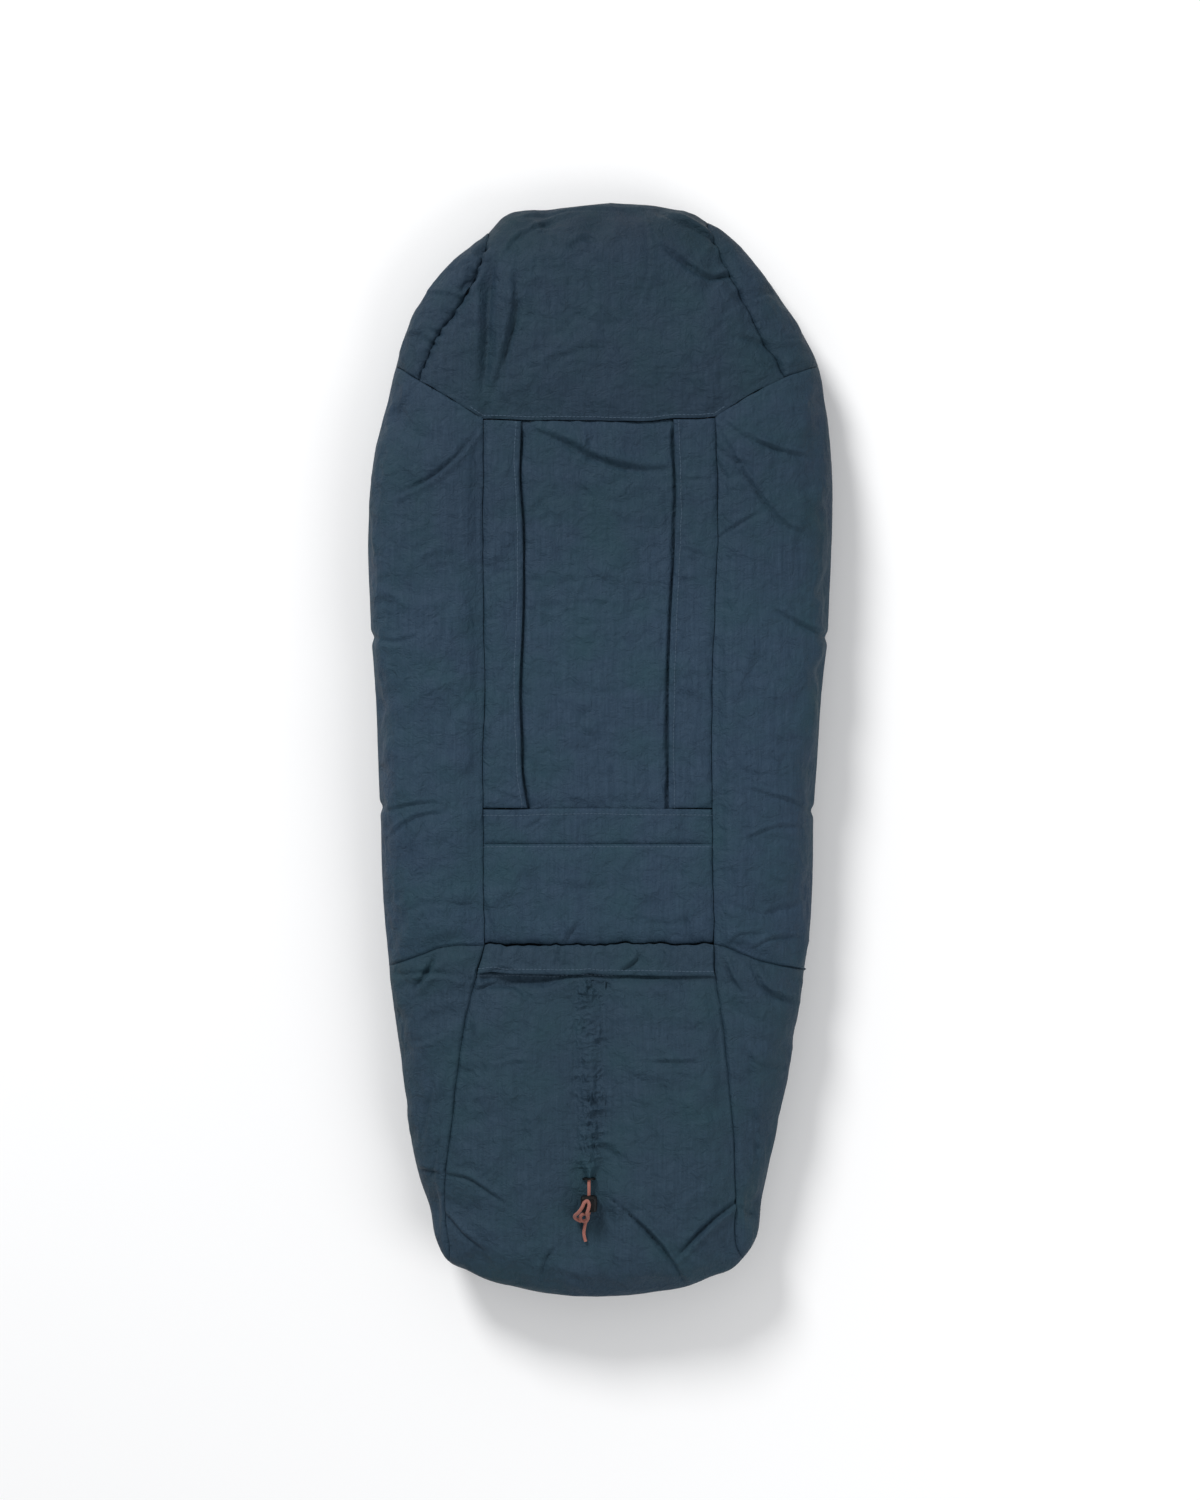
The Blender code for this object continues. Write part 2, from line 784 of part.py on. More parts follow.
def cover_slab(name, colour, low_z, high_z, start_y, end_y, inset, channels=0, columns=2, rows=2):
    """Pad with the cover's tapering plan, its underside drawn in at the edges and the channels."""
    work = bmesh.new()
    bmesh.ops.create_grid(work, x_segments=columns, y_segments=rows, size=0.5)
    for vert in work.verts:
        along = 0.5 - 0.5 * cos(pi * (vert.co.y + 0.5)) if not channels else vert.co.y + 0.5
        across = 0.5 - 0.5 * cos(pi * (vert.co.x + 0.5))
        y = start_y + along * (end_y - start_y)
        half = cover_half(y) - inset
        x = half * (2 * across - 1)
        fullness = 1.0
        if channels:
            to_edge = min(half - abs(x), y - start_y, end_y - y)
            fullness = 1 - exp(-to_edge / seam_roll)
            fullness = min(fullness, abs(sin(pi * along * (channels + 1))) + 0.25)
        vert.co = Vector((x, y, low_z + seam_draw * (1 - min(fullness, 1)) * (1.0 if channels else 0.0)))
    made = bmesh.ops.extrude_face_region(work, geom=work.faces[:], use_keep_orig=True)
    for item in made["geom"]:
        if isinstance(item, bmesh.types.BMVert):
            item.co.z = high_z
    bmesh.ops.recalc_face_normals(work, faces=work.faces[:])
    return add_part(name, mesh_from(work), colour, 0.8, origin=(0, cover_hinge_y, cover_hinge_z))


cover_panel_top = cover_floor_gap + cover_panel_thickness
cover_wadding_top = cover_panel_top + close_gap + cover_insulation_thickness
cover_fleece_top = cover_wadding_top + close_gap + cover_lining_thickness
cover_slab("cover_panel", shell_blue, cover_floor_gap, cover_panel_top, cover_foot_y, cover_top_y, 0.0,
           channels=cover_channel_count, columns=8, rows=20)
cover_slab("cover_insulation", wadding_white, cover_panel_top + close_gap, cover_wadding_top,
           cover_foot_y + overrun, cover_top_y, overrun)
cover_slab("cover_lining", fleece_grey, cover_wadding_top + close_gap, cover_fleece_top,
           cover_foot_y + overrun, cover_top_y, overrun)
binding_half = cover_half(cover_top_y) - overrun
cover_binding = block("cover_binding", fleece_grey,
                      (-binding_half, cover_top_y + close_gap, cover_floor_gap + seam_draw),
                      (binding_half, cover_top_y + close_gap + cover_binding_width, cover_fleece_top),
                      origin=(0, cover_hinge_y, cover_hinge_z))
round_edges(cover_binding, 0.3 * cover_binding_width)


# Zips: half chains sewn to the shell and the cover, joined by a slider on each side
def swept_strip(name, profile, start, end, origin=(0, 0, 0)):
    """Profile in x and z carried along a straight line in plan."""
    work = bmesh.new()
    first = [work.verts.new(Vector((start[0] + x, start[1], z))) for x, z in profile]
    face = work.faces.new(first)
    made = bmesh.ops.extrude_face_region(work, geom=[face], use_keep_orig=True)
    moved = [item for item in made["geom"] if isinstance(item, bmesh.types.BMVert)]
    bmesh.ops.translate(work, verts=moved, vec=(end[0] - start[0], end[1] - start[1], 0))
    bmesh.ops.recalc_face_normals(work, faces=work.faces[:])
    return add_part(name, mesh_from(work), zip_black, 0.5, origin=origin)


def chain_profile(side):
    """One half chain: a coil at the inner edge of its tape."""
    near = chain_half_gap
    mid = near + coil_width
    far = zip_valley_half - close_gap
    half_coil = coil_height / 2
    half_tape = tape_thickness / 2
    points = [(near, -half_coil), (mid, -half_coil), (mid, -half_tape), (far, -half_tape),
              (far, half_tape), (mid, half_tape), (mid, half_coil), (near, half_coil)]
    return [(side * x, zip_height + z) for x, z in points]


hinge_origin = (0, cover_hinge_y, cover_hinge_z)
slider_y = zip_top_y - stop_length - slider_length / 2 - slider_clearance
zip_lean = (zip_top_x - zip_foot_x) / (zip_top_y - zip_foot_y)

for side in (-1, 1):
    start = (side * zip_foot_x, zip_foot_y)
    top_y = slider_y + slider_length / 2 - slider_post_length - slider_clearance
    end = (side * zip_x(top_y), top_y)
    swept_strip("zip_chain_" + side_name(side) + "_shell", chain_profile(side), start, end)
    swept_strip("zip_chain_" + side_name(side) + "_cover", chain_profile(-side), start, end,
                origin=hinge_origin)

    # Slider: an upper and a lower plate joined by a post, with two ears for the pull
    centre = Vector((side * zip_x(slider_y), slider_y, zip_height))
    room = coil_height / 2 + slider_clearance
    half = Vector((slider_half_width, slider_length / 2, 0))
    slider = block("zip_slider_" + side_name(side), slider_metal,
                   centre + Vector((-half.x, -half.y, -room - slider_plate)),
                   centre + Vector((half.x, half.y, -room)), 0.35, 0.9, origin=centre)
    upper = block("slider_upper_" + side_name(side), slider_metal,
                  centre + Vector((-half.x, -half.y, room)),
                  centre + Vector((half.x, half.y, room + slider_plate)))
    combine(slider, upper, 'UNION')
    post_half = slider_post_width / 2
    post_shift = side * zip_lean * (half.y - slider_post_length / 2)
    post_reach = room + slider_plate / 2
    post = block("slider_post_" + side_name(side), slider_metal,
                 centre + Vector((post_shift - post_half, half.y - slider_post_length, -post_reach)),
                 centre + Vector((post_shift + post_half, half.y, post_reach)))
    combine(slider, post, 'UNION')
    pin_y = half.y + slider_ear_length / 2
    pin_z = -room - slider_plate
    ear_inner = pull_half_width + close_gap
    for ear_side in (-1, 1):
        near = ear_side * ear_inner
        far = ear_side * (ear_inner + slider_ear_width)
        ear = block("slider_ear_" + side_name(side) + side_name(ear_side), slider_metal,
                    centre + Vector((min(near, far), half.y - slider_plate, pin_z - slider_plate)),
                    centre + Vector((max(near, far), half.y + slider_ear_length, pin_z + slider_plate)))
        combine(slider, ear, 'UNION')

    def pin_rod(name, radius, half_length):
        work = bmesh.new()
        bmesh.ops.create_cone(work, cap_ends=True, segments=12, radius1=radius, radius2=radius,
                              depth=2 * half_length)
        bmesh.ops.rotate(work, verts=work.verts[:], matrix=Matrix.Rotation(pi / 2, 3, 'Y'))
        bmesh.ops.translate(work, verts=work.verts[:], vec=centre + Vector((0, pin_y, pin_z)))
        return add_part(name, mesh_from(work), slider_metal, 0.35, 0.9)

    bore = pin_rod("slider_bore_" + side_name(side), pull_pin_radius + close_gap / 2,
                   ear_inner + slider_ear_width + overrun)
    combine(slider, bore, 'DIFFERENCE')
    pin_spot = centre + Vector((0, pin_y, pin_z))
    pull = block("zip_pull_" + side_name(side), slider_metal,
                 pin_spot + Vector((-pull_half_width, -pull_thickness / 2, -pull_thickness / 2)),
                 pin_spot + Vector((pull_half_width, pull_length, pull_thickness / 2)),
                 0.4, 0.8, origin=pin_spot)
    rod = pin_rod("pull_pin_" + side_name(side), pull_pin_radius, ear_inner + 0.8 * slider_ear_width)
    combine(pull, rod, 'UNION')


for side in (-1, 1):
    for end, y in (("foot", zip_foot_y - close_gap - stop_length / 2), ("top", zip_top_y + stop_length)):
        near = side * (zip_x(y) + chain_half_gap)
        far = side * (zip_x(y) + zip_valley_half - close_gap)
        block("zip_stop_" + side_name(side) + "_" + end, slider_metal,
              (min(near, far), y - stop_length / 2, zip_height - coil_height / 2),
              (max(near, far), y + stop_length / 2, zip_height + coil_height / 2), 0.35, 0.9)


# Drawcord tunnel: a low sewn tube on the pouch skin, with an end collar
channel_low = back_height + close_gap
bore_radius = cord_diameter / 2 + bore_clearance
bore_z = channel_low + channel_base + bore_radius


def tunnel(name, width, top, start_y, end_y, colour):
    """Half oval with a round bore, drawn in x and z and given its length along y."""
    curve = bpy.data.curves.new(name, 'CURVE')
    curve.dimensions = '2D'
    curve.fill_mode = 'BOTH'
    steps = 12
    dome = [(width / 2 * cos(pi * step / steps), channel_low + (top - channel_low) * sin(pi * step / steps))
            for step in range(steps + 1)]
    hole = [(bore_radius * cos(2 * pi * step / steps), bore_z + bore_radius * sin(2 * pi * step / steps))
            for step in range(steps)]
    for ring in (dome, hole):
        spline = curve.splines.new('POLY')
        spline.points.add(len(ring) - 1)
        for point, spot in zip(spline.points, ring):
            point.co = (spot[0], spot[1], 0, 1)
        spline.use_cyclic_u = True
    curve.extrude = abs(end_y - start_y) / 2
    shape = bpy.data.objects.new(name + "_curve", curve)
    middle = Matrix.Translation((cord_x, (start_y + end_y) / 2, 0))
    shape.matrix_world = middle @ Matrix.Rotation(pi / 2, 4, 'X')
    parts.objects.link(shape)
    bpy.context.view_layer.update()
    mesh = bpy.data.meshes.new_from_object(shape.evaluated_get(bpy.context.evaluated_depsgraph_get()))
    mesh.transform(shape.matrix_world)
    bpy.data.objects.remove(shape)
    work = bmesh.new()
    work.from_mesh(mesh)
    bmesh.ops.remove_doubles(work, verts=work.verts[:], dist=seam_gap / 10)
    bmesh.ops.recalc_face_normals(work, faces=work.faces[:])
    return add_part(name, mesh_from(work), colour)


channel_top = bore_z + bore_radius + channel_wall
tunnel("cord_channel", channel_width, channel_top, channel_top_y, channel_bottom_y, shell_blue)
eyelet_start = channel_bottom_y - close_gap
tunnel("cord_eyelet", eyelet_width, channel_top + close_gap, eyelet_start, eyelet_start - eyelet_length,
       lock_black)


# Drawcord: hidden in the tunnel, then free through the lock to its knot and tail
def read_smoothly(points, count):
    """Points at even steps along a smooth curve through the route's own points."""
    route = [Vector(point) for point in points]
    places = [0.0]
    for first, second in zip(route, route[1:]):
        places.append(places[-1] + (second - first).length)
    tables = [[(place, spot[axis]) for place, spot in zip(places, route)] for axis in range(3)]
    steps = [places[-1] * step / (count - 1) for step in range(count)]
    return [tuple(smooth_value(table, step) for table in tables) for step in steps]


def cord(name, points, count):
    curve = bpy.data.curves.new(name, 'CURVE')
    curve.dimensions = '3D'
    curve.bevel_depth = cord_diameter / 2
    curve.bevel_resolution = 2
    curve.use_fill_caps = True
    spline = curve.splines.new('POLY')
    spots = read_smoothly(points, count)
    spline.points.add(len(spots) - 1)
    for point, spot in zip(spline.points, spots):
        point.co = (*spot, 1)
    part = bpy.data.objects.new(name, curve)
    curve.materials.append(make_material(name, cord_coral, 0.7))
    parts.objects.link(part)
    return part


lock_low = back_height + 2 * close_gap
lock_top = lock_low + lock_height
lock_cord_z = (lock_low + lock_floor + 2 * spring_wire + plunger_travel + plunger_wall + close_gap
               + cord_diameter / 2)
exit_y = eyelet_start - eyelet_length - close_gap
route_origin = Vector((lock_x, lock_y, back_height))


def routed(points):
    """A cord's route, typed as places seen from the lock's foot."""
    return [route_origin + Vector(point) for point in points]


cord("drawcord_hidden", [(cord_x, channel_top_y, bore_z), (cord_x, 0.5 * (channel_top_y + exit_y), bore_z),
                         (cord_x, exit_y + close_gap, bore_z)], 8)
level_z = lock_cord_z - back_height
cord("drawcord_free", [(cord_x, exit_y, bore_z)] + routed([
    (0.0, 0.0192, 0.0052), (0.0, 0.0167, 0.0060), (0.0, 0.0142, level_z), (0.0, 0.0072, level_z),
    (0.0, 0.0, level_z), (0.0, -0.0048, level_z), (0.0, -0.0083, 0.0074), (-0.0008, -0.0099, 0.0067),
    (-0.0020, -0.0110, 0.0057),
]), 40)
knot_spot = routed([(-0.0028, -0.0148, 0.0039)])[0]
work = bmesh.new()
bmesh.ops.create_uvsphere(work, u_segments=14, v_segments=9, radius=knot_radius)
bmesh.ops.rotate(work, verts=work.verts[:], matrix=Matrix.Rotation(pi / 2, 3, 'X'))
bmesh.ops.scale(work, verts=work.verts[:], vec=(1.0, 0.75, 1.0))
bmesh.ops.translate(work, verts=work.verts[:], vec=knot_spot)
add_part("drawcord_knot", mesh_from(work), cord_coral, 0.7, origin=knot_spot)
cord("drawcord_tail", routed([
    (-0.0031, -0.0187, 0.0032), (-0.0040, -0.0213, 0.0022), (-0.0046, -0.0258, 0.0018),
    (-0.0042, -0.0303, 0.0018), (-0.0030, -0.0348, 0.0018),
]), 12)


# Cord lock: a square body with a well, a sprung plunger with a cross hole, and its button
def upright(name, radius, low_z, high_z):
    work = bmesh.new()
    bmesh.ops.create_cone(work, cap_ends=True, segments=24, radius1=radius, radius2=radius,
                          depth=high_z - low_z)
    bmesh.ops.translate(work, verts=work.verts[:], vec=(lock_x, lock_y, (low_z + high_z) / 2))
    return add_part(name, mesh_from(work), lock_black, 0.4, origin=(lock_x, lock_y, low_z))


lock_origin = (lock_x, lock_y, lock_low)
half_lock = lock_size / 2
lock_body = block("lock_body", lock_black, (lock_x - half_lock, lock_y - half_lock, lock_low),
                  (lock_x + half_lock, lock_y + half_lock, lock_top), 0.4, origin=lock_origin)
round_edges(lock_body, lock_corner, 3)
lock_well = upright("lock_well", plunger_radius + close_gap, lock_low + lock_floor, lock_top + overrun)
combine(lock_body, lock_well, 'DIFFERENCE')


def cord_hole(name, radius, stretch):
    """Hole along the cord; stretched upwards by the plunger's travel."""
    work = bmesh.new()
    bmesh.ops.create_cone(work, cap_ends=True, segments=16, radius1=radius, radius2=radius,
                          depth=lock_size + 2 * overrun)
    bmesh.ops.rotate(work, verts=work.verts[:], matrix=Matrix.Rotation(pi / 2, 3, 'X'))
    for vert in work.verts:
        if vert.co.z > 0:
            vert.co.z += stretch
    bmesh.ops.translate(work, verts=work.verts[:], vec=(lock_x, lock_y, lock_cord_z))
    return add_part(name, mesh_from(work), lock_black)


combine(lock_body, cord_hole("lock_cord_hole", bore_radius, 0.0), 'DIFFERENCE')
plunger_low = lock_cord_z - cord_diameter / 2 - close_gap - plunger_wall
plunger_top = lock_top + plunger_travel + close_gap
lock_plunger = upright("lock_plunger", plunger_radius, plunger_low, plunger_top + slider_plate)
lock_button = upright("lock_button", button_radius, plunger_top, plunger_top + button_height)
combine(lock_plunger, lock_button, 'UNION')
plunger_hole = cord_hole("plunger_cord_hole", bore_radius, plunger_travel + close_gap)
combine(lock_plunger, plunger_hole, 'DIFFERENCE')

spring_low = lock_low + lock_floor + close_gap + spring_wire / 2
spring_high = plunger_low - close_gap - spring_wire / 2
curve = bpy.data.curves.new("lock_spring", 'CURVE')
curve.dimensions = '3D'
curve.bevel_depth = spring_wire / 2
curve.bevel_resolution = 1
curve.use_fill_caps = True
spline = curve.splines.new('POLY')
coil_steps = 12 * spring_turns
spline.points.add(coil_steps)
for step in range(coil_steps + 1):
    turn = 2 * pi * step / 12
    rise = spring_low + (spring_high - spring_low) * step / coil_steps
    spline.points[step].co = (lock_x + spring_radius * cos(turn), lock_y + spring_radius * sin(turn), rise, 1)
curve.materials.append(make_material("lock_spring", spring_steel, 0.3, 1.0))
lock_spring = bpy.data.objects.new("lock_spring", curve)
parts.objects.link(lock_spring)
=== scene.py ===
from math import pi, radians

import bmesh
import bpy
import numpy as np
from mathutils import Matrix, Vector


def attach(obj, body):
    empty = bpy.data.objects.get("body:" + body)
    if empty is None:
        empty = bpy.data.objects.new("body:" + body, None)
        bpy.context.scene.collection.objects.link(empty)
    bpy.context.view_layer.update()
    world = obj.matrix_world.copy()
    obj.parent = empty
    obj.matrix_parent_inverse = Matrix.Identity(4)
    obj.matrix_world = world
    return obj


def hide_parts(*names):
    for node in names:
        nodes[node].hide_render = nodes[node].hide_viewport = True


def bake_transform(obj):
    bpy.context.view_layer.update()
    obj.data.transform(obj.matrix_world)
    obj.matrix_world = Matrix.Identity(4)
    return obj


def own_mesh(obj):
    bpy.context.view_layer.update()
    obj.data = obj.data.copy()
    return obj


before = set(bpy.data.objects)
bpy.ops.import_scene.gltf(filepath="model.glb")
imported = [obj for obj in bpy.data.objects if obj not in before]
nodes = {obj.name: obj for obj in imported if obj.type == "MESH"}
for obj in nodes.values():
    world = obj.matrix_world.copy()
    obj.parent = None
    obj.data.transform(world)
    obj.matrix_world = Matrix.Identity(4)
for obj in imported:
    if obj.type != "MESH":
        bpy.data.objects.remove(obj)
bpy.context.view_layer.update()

mm = 0.001


# The camera hangs 4 m over the back, so that the padded edges don't lean. Its frame is 1.37 m tall
# at the height of the muff's edges.
camera_lens_mm, sensor_mm = 105, 36
edge_level, frame_tall = 0.045, 1.3725
camera_height = edge_level + frame_tall * camera_lens_mm / sensor_mm
camera_data = bpy.data.cameras.new("camera")
camera_data.lens = camera_lens_mm
camera_data.sensor_width = sensor_mm
camera = bpy.data.objects.new("camera", camera_data)
camera.location = (0, -1.4 * mm, camera_height)
bpy.context.scene.collection.objects.link(camera)
bpy.context.scene.camera = camera


# The drawcord is a 3 mm round braid of coral polyester. It leaves the eyelet of its tunnel, runs through
# the spring lock, is tied in a loose overhand knot and ends in a sealed tail 2 cm long.
def way_along(spots):
    """Distance from the first place to each of the others, along the line."""
    return np.concatenate([[0], np.cumsum(np.linalg.norm(np.diff(spots, axis=0), axis=1))])


def line_through(points, count):
    """Even places along a smooth curve through the given ones."""
    spots = np.array(points, float)
    spots = spots[np.concatenate([[True], np.linalg.norm(np.diff(spots, axis=0), axis=1) > 1e-9])]
    way = way_along(spots)
    slopes = np.gradient(spots, way, axis=0)
    place = np.linspace(0, way[-1], count * 3)
    index = np.clip(np.searchsorted(way, place, side="right") - 1, 0, len(way) - 2)
    run = (way[index + 1] - way[index])[:, None]
    share = (place - way[index])[:, None] / run
    curve = ((2 * share ** 3 - 3 * share ** 2 + 1) * spots[index]
             + (share ** 3 - 2 * share ** 2 + share) * run * slopes[index]
             + (3 * share ** 2 - 2 * share ** 3) * spots[index + 1]
             + (share ** 3 - share ** 2) * run * slopes[index + 1])
    reach = way_along(curve)
    even = np.linspace(0, reach[-1], count)
    return np.stack([np.interp(even, reach, curve[:, axis]) for axis in range(curve.shape[1])], axis=1)


def link(name, data, *materials):
    """Puts a piece in the scene, in its materials."""
    piece = bpy.data.objects.new(name, data)
    bpy.context.scene.collection.objects.link(piece)
    for material in materials:
        data.materials.append(material)
    return piece


def linked_work(name, work, *materials):
    """Makes a piece of a finished bmesh."""
    mesh = bpy.data.meshes.new(name)
    work.to_mesh(mesh)
    work.free()
    return link(name, mesh, *materials)


def riding(piece, body, *replaced, slot="shell_nylon", fill=None):
    """Puts a piece on its body, in place of CAD nodes, which it hides. slot and fill are not used."""
    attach(piece, body)
    if replaced:
        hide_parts(*replaced)
    return piece


def round_cord(name, places, radius, *materials, resolution=4):
    """A round cord with closed ends through places."""
    curve = bpy.data.curves.new(name, 'CURVE')
    curve.dimensions = '3D'
    curve.bevel_depth = radius
    curve.bevel_resolution = resolution
    curve.use_fill_caps = True
    spline = curve.splines.new('POLY')
    spline.points.add(len(places) - 1)
    spline.points.foreach_set("co", np.hstack([places, np.ones((len(places), 1))]).ravel())
    spline.use_smooth = True
    return link(name, curve, *materials)


def hex_colour(code):
    """Linear colour of an sRGB hex value."""
    parts = [int(code[i:i + 2], 16) / 255 for i in (1, 3, 5)]
    return tuple(p / 12.92 if p <= 0.04045 else ((p + 0.055) / 1.055) ** 2.4 for p in parts) + (1.0,)


def set_inputs(tree, made, **links):
    """Sets a node's inputs. A link is (node, output), and any other value is the socket's own."""
    for name, value in links.items():
        socket = made.inputs[int(name[1:])] if name[0] == "_" else made.inputs[name.replace("_", " ")]
        if isinstance(value, tuple) and len(value) == 2 and hasattr(value[0], "outputs"):
            tree.links.new(value[0].outputs[value[1]], socket)
        else:
            socket.default_value = value
    return made


def node(tree, kind, settings=None, **links):
    """Adds a node of a kind, with its settings and inputs."""
    made = tree.nodes.new("ShaderNode" + kind)
    for name, value in (settings or {}).items():
        setattr(made, name, value)
    return set_inputs(tree, made, **links)


def new_material(name, **constants):
    material = bpy.data.materials.new(name)
    material.use_nodes = True
    tree = material.node_tree
    return material, tree, set_inputs(tree, tree.nodes["Principled BSDF"], **constants)


def maths(tree, operation, **inputs):
    return node(tree, "Math", {"operation": operation}, **inputs), "Value"


def on_object(tree):
    return node(tree, "TexCoord"), "Object"


def noise(tree, scale, settings=None, place=None, **more):
    return node(tree, "TexNoise", settings, Vector=place or on_object(tree), Scale=scale, **more), "Fac"


def mixed(tree, share, first, second, blend="MIX"):
    """A colour between two others, each a hex value or a link."""
    first, second = (hex_colour(c) if isinstance(c, str) else c for c in (first, second))
    return node(tree, "Mix", {"data_type": "RGBA", "blend_type": blend}, _0=share, _6=first, _7=second), 2


def ranged(tree, value, low, high, settings=None, **more):
    return node(tree, "MapRange", settings, Value=value, To_Min=low, To_Max=high, **more), "Result"


def raised(tree, height, strength, distance, **more):
    return node(tree, "Bump", Height=height, Strength=strength, Distance=distance, **more), "Normal"


# Braided polyester: dull, with a herringbone of plaits about 1 mm long
cord_braid, tree, shader = new_material("coral_braid", Roughness=0.7, Sheen_Weight=0.15)
plaits = []
for lean in (38, -38):
    turned = node(tree, "Mapping", Vector=on_object(tree), Rotation=(0, 0, radians(lean)))
    plaits.append((node(tree, "TexWave", Vector=(turned, "Vector"), Scale=330.0, Distortion=0.6), "Fac"))
braid = maths(tree, "MULTIPLY", _0=plaits[0], _1=plaits[1])
set_inputs(tree, shader, Base_Color=mixed(tree, braid, "#934f43", "#bf8a7c"),
           Normal=raised(tree, braid, 0.6, 0.0006))

cord_diameter = 3 * mm
lock_spot = Vector((-10.0, -412.2, 80.0)) * mm
cord_exit = Vector((-10.0, -391.2, 85.2)) * mm
cord_route = [cord_exit] + [lock_spot + Vector(point) for point in (
    (0.0, 0.0196, 0.0053), (0.0, 0.0178, 0.0060), (0.0, 0.0161, 0.0072), (0.0, 0.0150, 0.0076),
    (0.0, 0.0138, 0.0076), (0.0, 0.0072, 0.0076), (0.0, 0.0, 0.0076), (0.0, -0.0048, 0.0076),
    (0.0, -0.0083, 0.0074), (-0.0010, -0.0110, 0.0062), (-0.0024, -0.0148, 0.0044),
    (-0.0034, -0.0187, 0.0032), (-0.0042, -0.0235, 0.0024), (-0.0046, -0.0262, 0.0019),
    (-0.0042, -0.0303, 0.0019), (-0.0030, -0.0348, 0.0019))]
cord_places = line_through(cord_route, 44)
drawcord = riding(round_cord("drawcord", cord_places, cord_diameter / 2, cord_braid), "shell",
                  "drawcord_free", "drawcord_tail", "drawcord_hidden", slot="cord_coral")

# The knot: two loose turns of the same braid. The upper one has flopped over the lock and its button.
knot_places = line_through([(-13.2, -429.2, 83.4), (-11.6, -427.2, 84.8), (-10.7, -424.4, 86.4),
    (-12.3, -421.8, 88.2), (-15.6, -421.5, 89.2), (-17.8, -424.2, 88.4), (-16.6, -427.4, 87.2),
    (-13.4, -427.9, 88.0), (-11.0, -425.4, 91.0), (-11.2, -422.4, 96.0), (-11.4, -418.6, 99.6),
    (-10.2, -414.6, 100.9), (-9.9, -410.8, 101.0), (-11.6, -408.2, 101.0), (-14.0, -409.6, 101.0),
    (-15.6, -413.0, 100.6), (-17.8, -416.8, 98.4), (-20.4, -420.2, 94.6), (-22.6, -422.6, 89.6),
    (-22.6, -425.2, 85.6), (-20.0, -427.2, 83.6), (-17.2, -428.6, 82.6)], 110) * mm
cord_knot = riding(round_cord("cord_knot", knot_places, cord_diameter * 0.53, cord_braid), "shell",
                   "drawcord_knot", slot="cord_coral")


# Cord lock: a body and a sprung button that clamp the cord between them. Both are moulded acetal, as the
# eyelet at the tunnel's foot is, and keep the CAD's shape.
def fine_grained(name, colours, scale, detail=2.0, ribbed=False, dull=None, bump=None, **constants):
    """A material with one fine texture on Object coordinates: noise, or ribs across Y. It mixes two colours,
    or varies the roughness between the two values of dull. bump gives its strength and its depth."""
    material, tree, shader = new_material(name, **constants)
    if ribbed:
        ribs = {"bands_direction": "Y"}
        grain = node(tree, "TexWave", ribs, Vector=on_object(tree), Scale=scale, Distortion=0.5), "Fac"
    else:
        grain = noise(tree, scale, Detail=detail)
    colour = mixed(tree, grain, *colours) if len(colours) == 2 else hex_colour(*colours)
    set_inputs(tree, shader, Base_Color=colour)
    if dull:
        set_inputs(tree, shader, Roughness=ranged(tree, grain, *dull))
    if bump:
        set_inputs(tree, shader, Normal=raised(tree, grain, *bump))
    return material


# Acetal: black and nearly matt, with a fine moulded grain
lock_acetal = fine_grained("black_moulded_acetal", ["#0c0c0e"], 2500.0, dull=(0.38, 0.55),
                           bump=(0.25, 0.0002), IOR=1.48, Specular_IOR_Level=0.25)
# Steel wire: bright, with fine marks of drawing that dull it here and there
spring_wire = fine_grained("drawn_steel_wire", ["#b9babb"], 3000.0, dull=(0.2, 0.4), Metallic=1.0)


def finish_node(name, material):
    piece = nodes[name]
    piece.data.materials.clear()
    piece.data.materials.append(material)


for name in ("lock_body", "lock_plunger", "cord_eyelet"):
    finish_node(name, lock_acetal)

# The spring stands in the lock's well and is pressed flat by the button
turns = np.linspace(0, 3 * 2 * pi, 73)
coil_places = np.stack([lock_spot.x + 2.4 * mm * np.cos(turns), lock_spot.y + 2.4 * mm * np.sin(turns),
                        82.2 * mm + 2.2 * mm * turns / turns[-1]], axis=1)
coil_trial = round_cord("spring_trial", coil_places, 0.3 * mm, resolution=1)
spring = link("lock_spring_coil", bpy.data.meshes.new_from_object(
    coil_trial.evaluated_get(bpy.context.evaluated_depsgraph_get())), spring_wire)
bpy.data.objects.remove(coil_trial)
riding(spring, "lock", "lock_spring", slot="spring_steel")
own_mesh(spring)


# The shell is sewn from panels of matt woven nylon over polyester wadding. Its outline, seams and creases
# are laid where the photograph shows them. Every panel is a field between four seams, laid on the padded
# back and turned under its edge to the zips.
left_outline = line_through([(-2, -500), (-30, -499), (-57.6, -495.5), (-78.7, -490.9), (-97.9, -486.3),
    (-119.9, -477.2), (-138.2, -468), (-149, -449.7), (-155.5, -422), (-164.7, -394.8), (-172.9, -358.2),
    (-176.6, -321.6), (-182.1, -285), (-187.6, -248.4), (-192.2, -211.8), (-194.2, -190), (-197.6, -156.9),
    (-200.5, -100), (-201.2, -66), (-203.1, -28.8), (-205.9, 44.4), (-209.5, 99.3), (-212.5, 160),
    (-213.2, 191), (-210.5, 236), (-204, 282.3), (-194.9, 318.9), (-187, 350), (-172.9, 392.1),
    (-149.1, 428.7), (-122.6, 456.1), (-102.5, 472.6), (-88.5, 487.6), (-45.8, 494.6), (10, 500)], 900) * mm
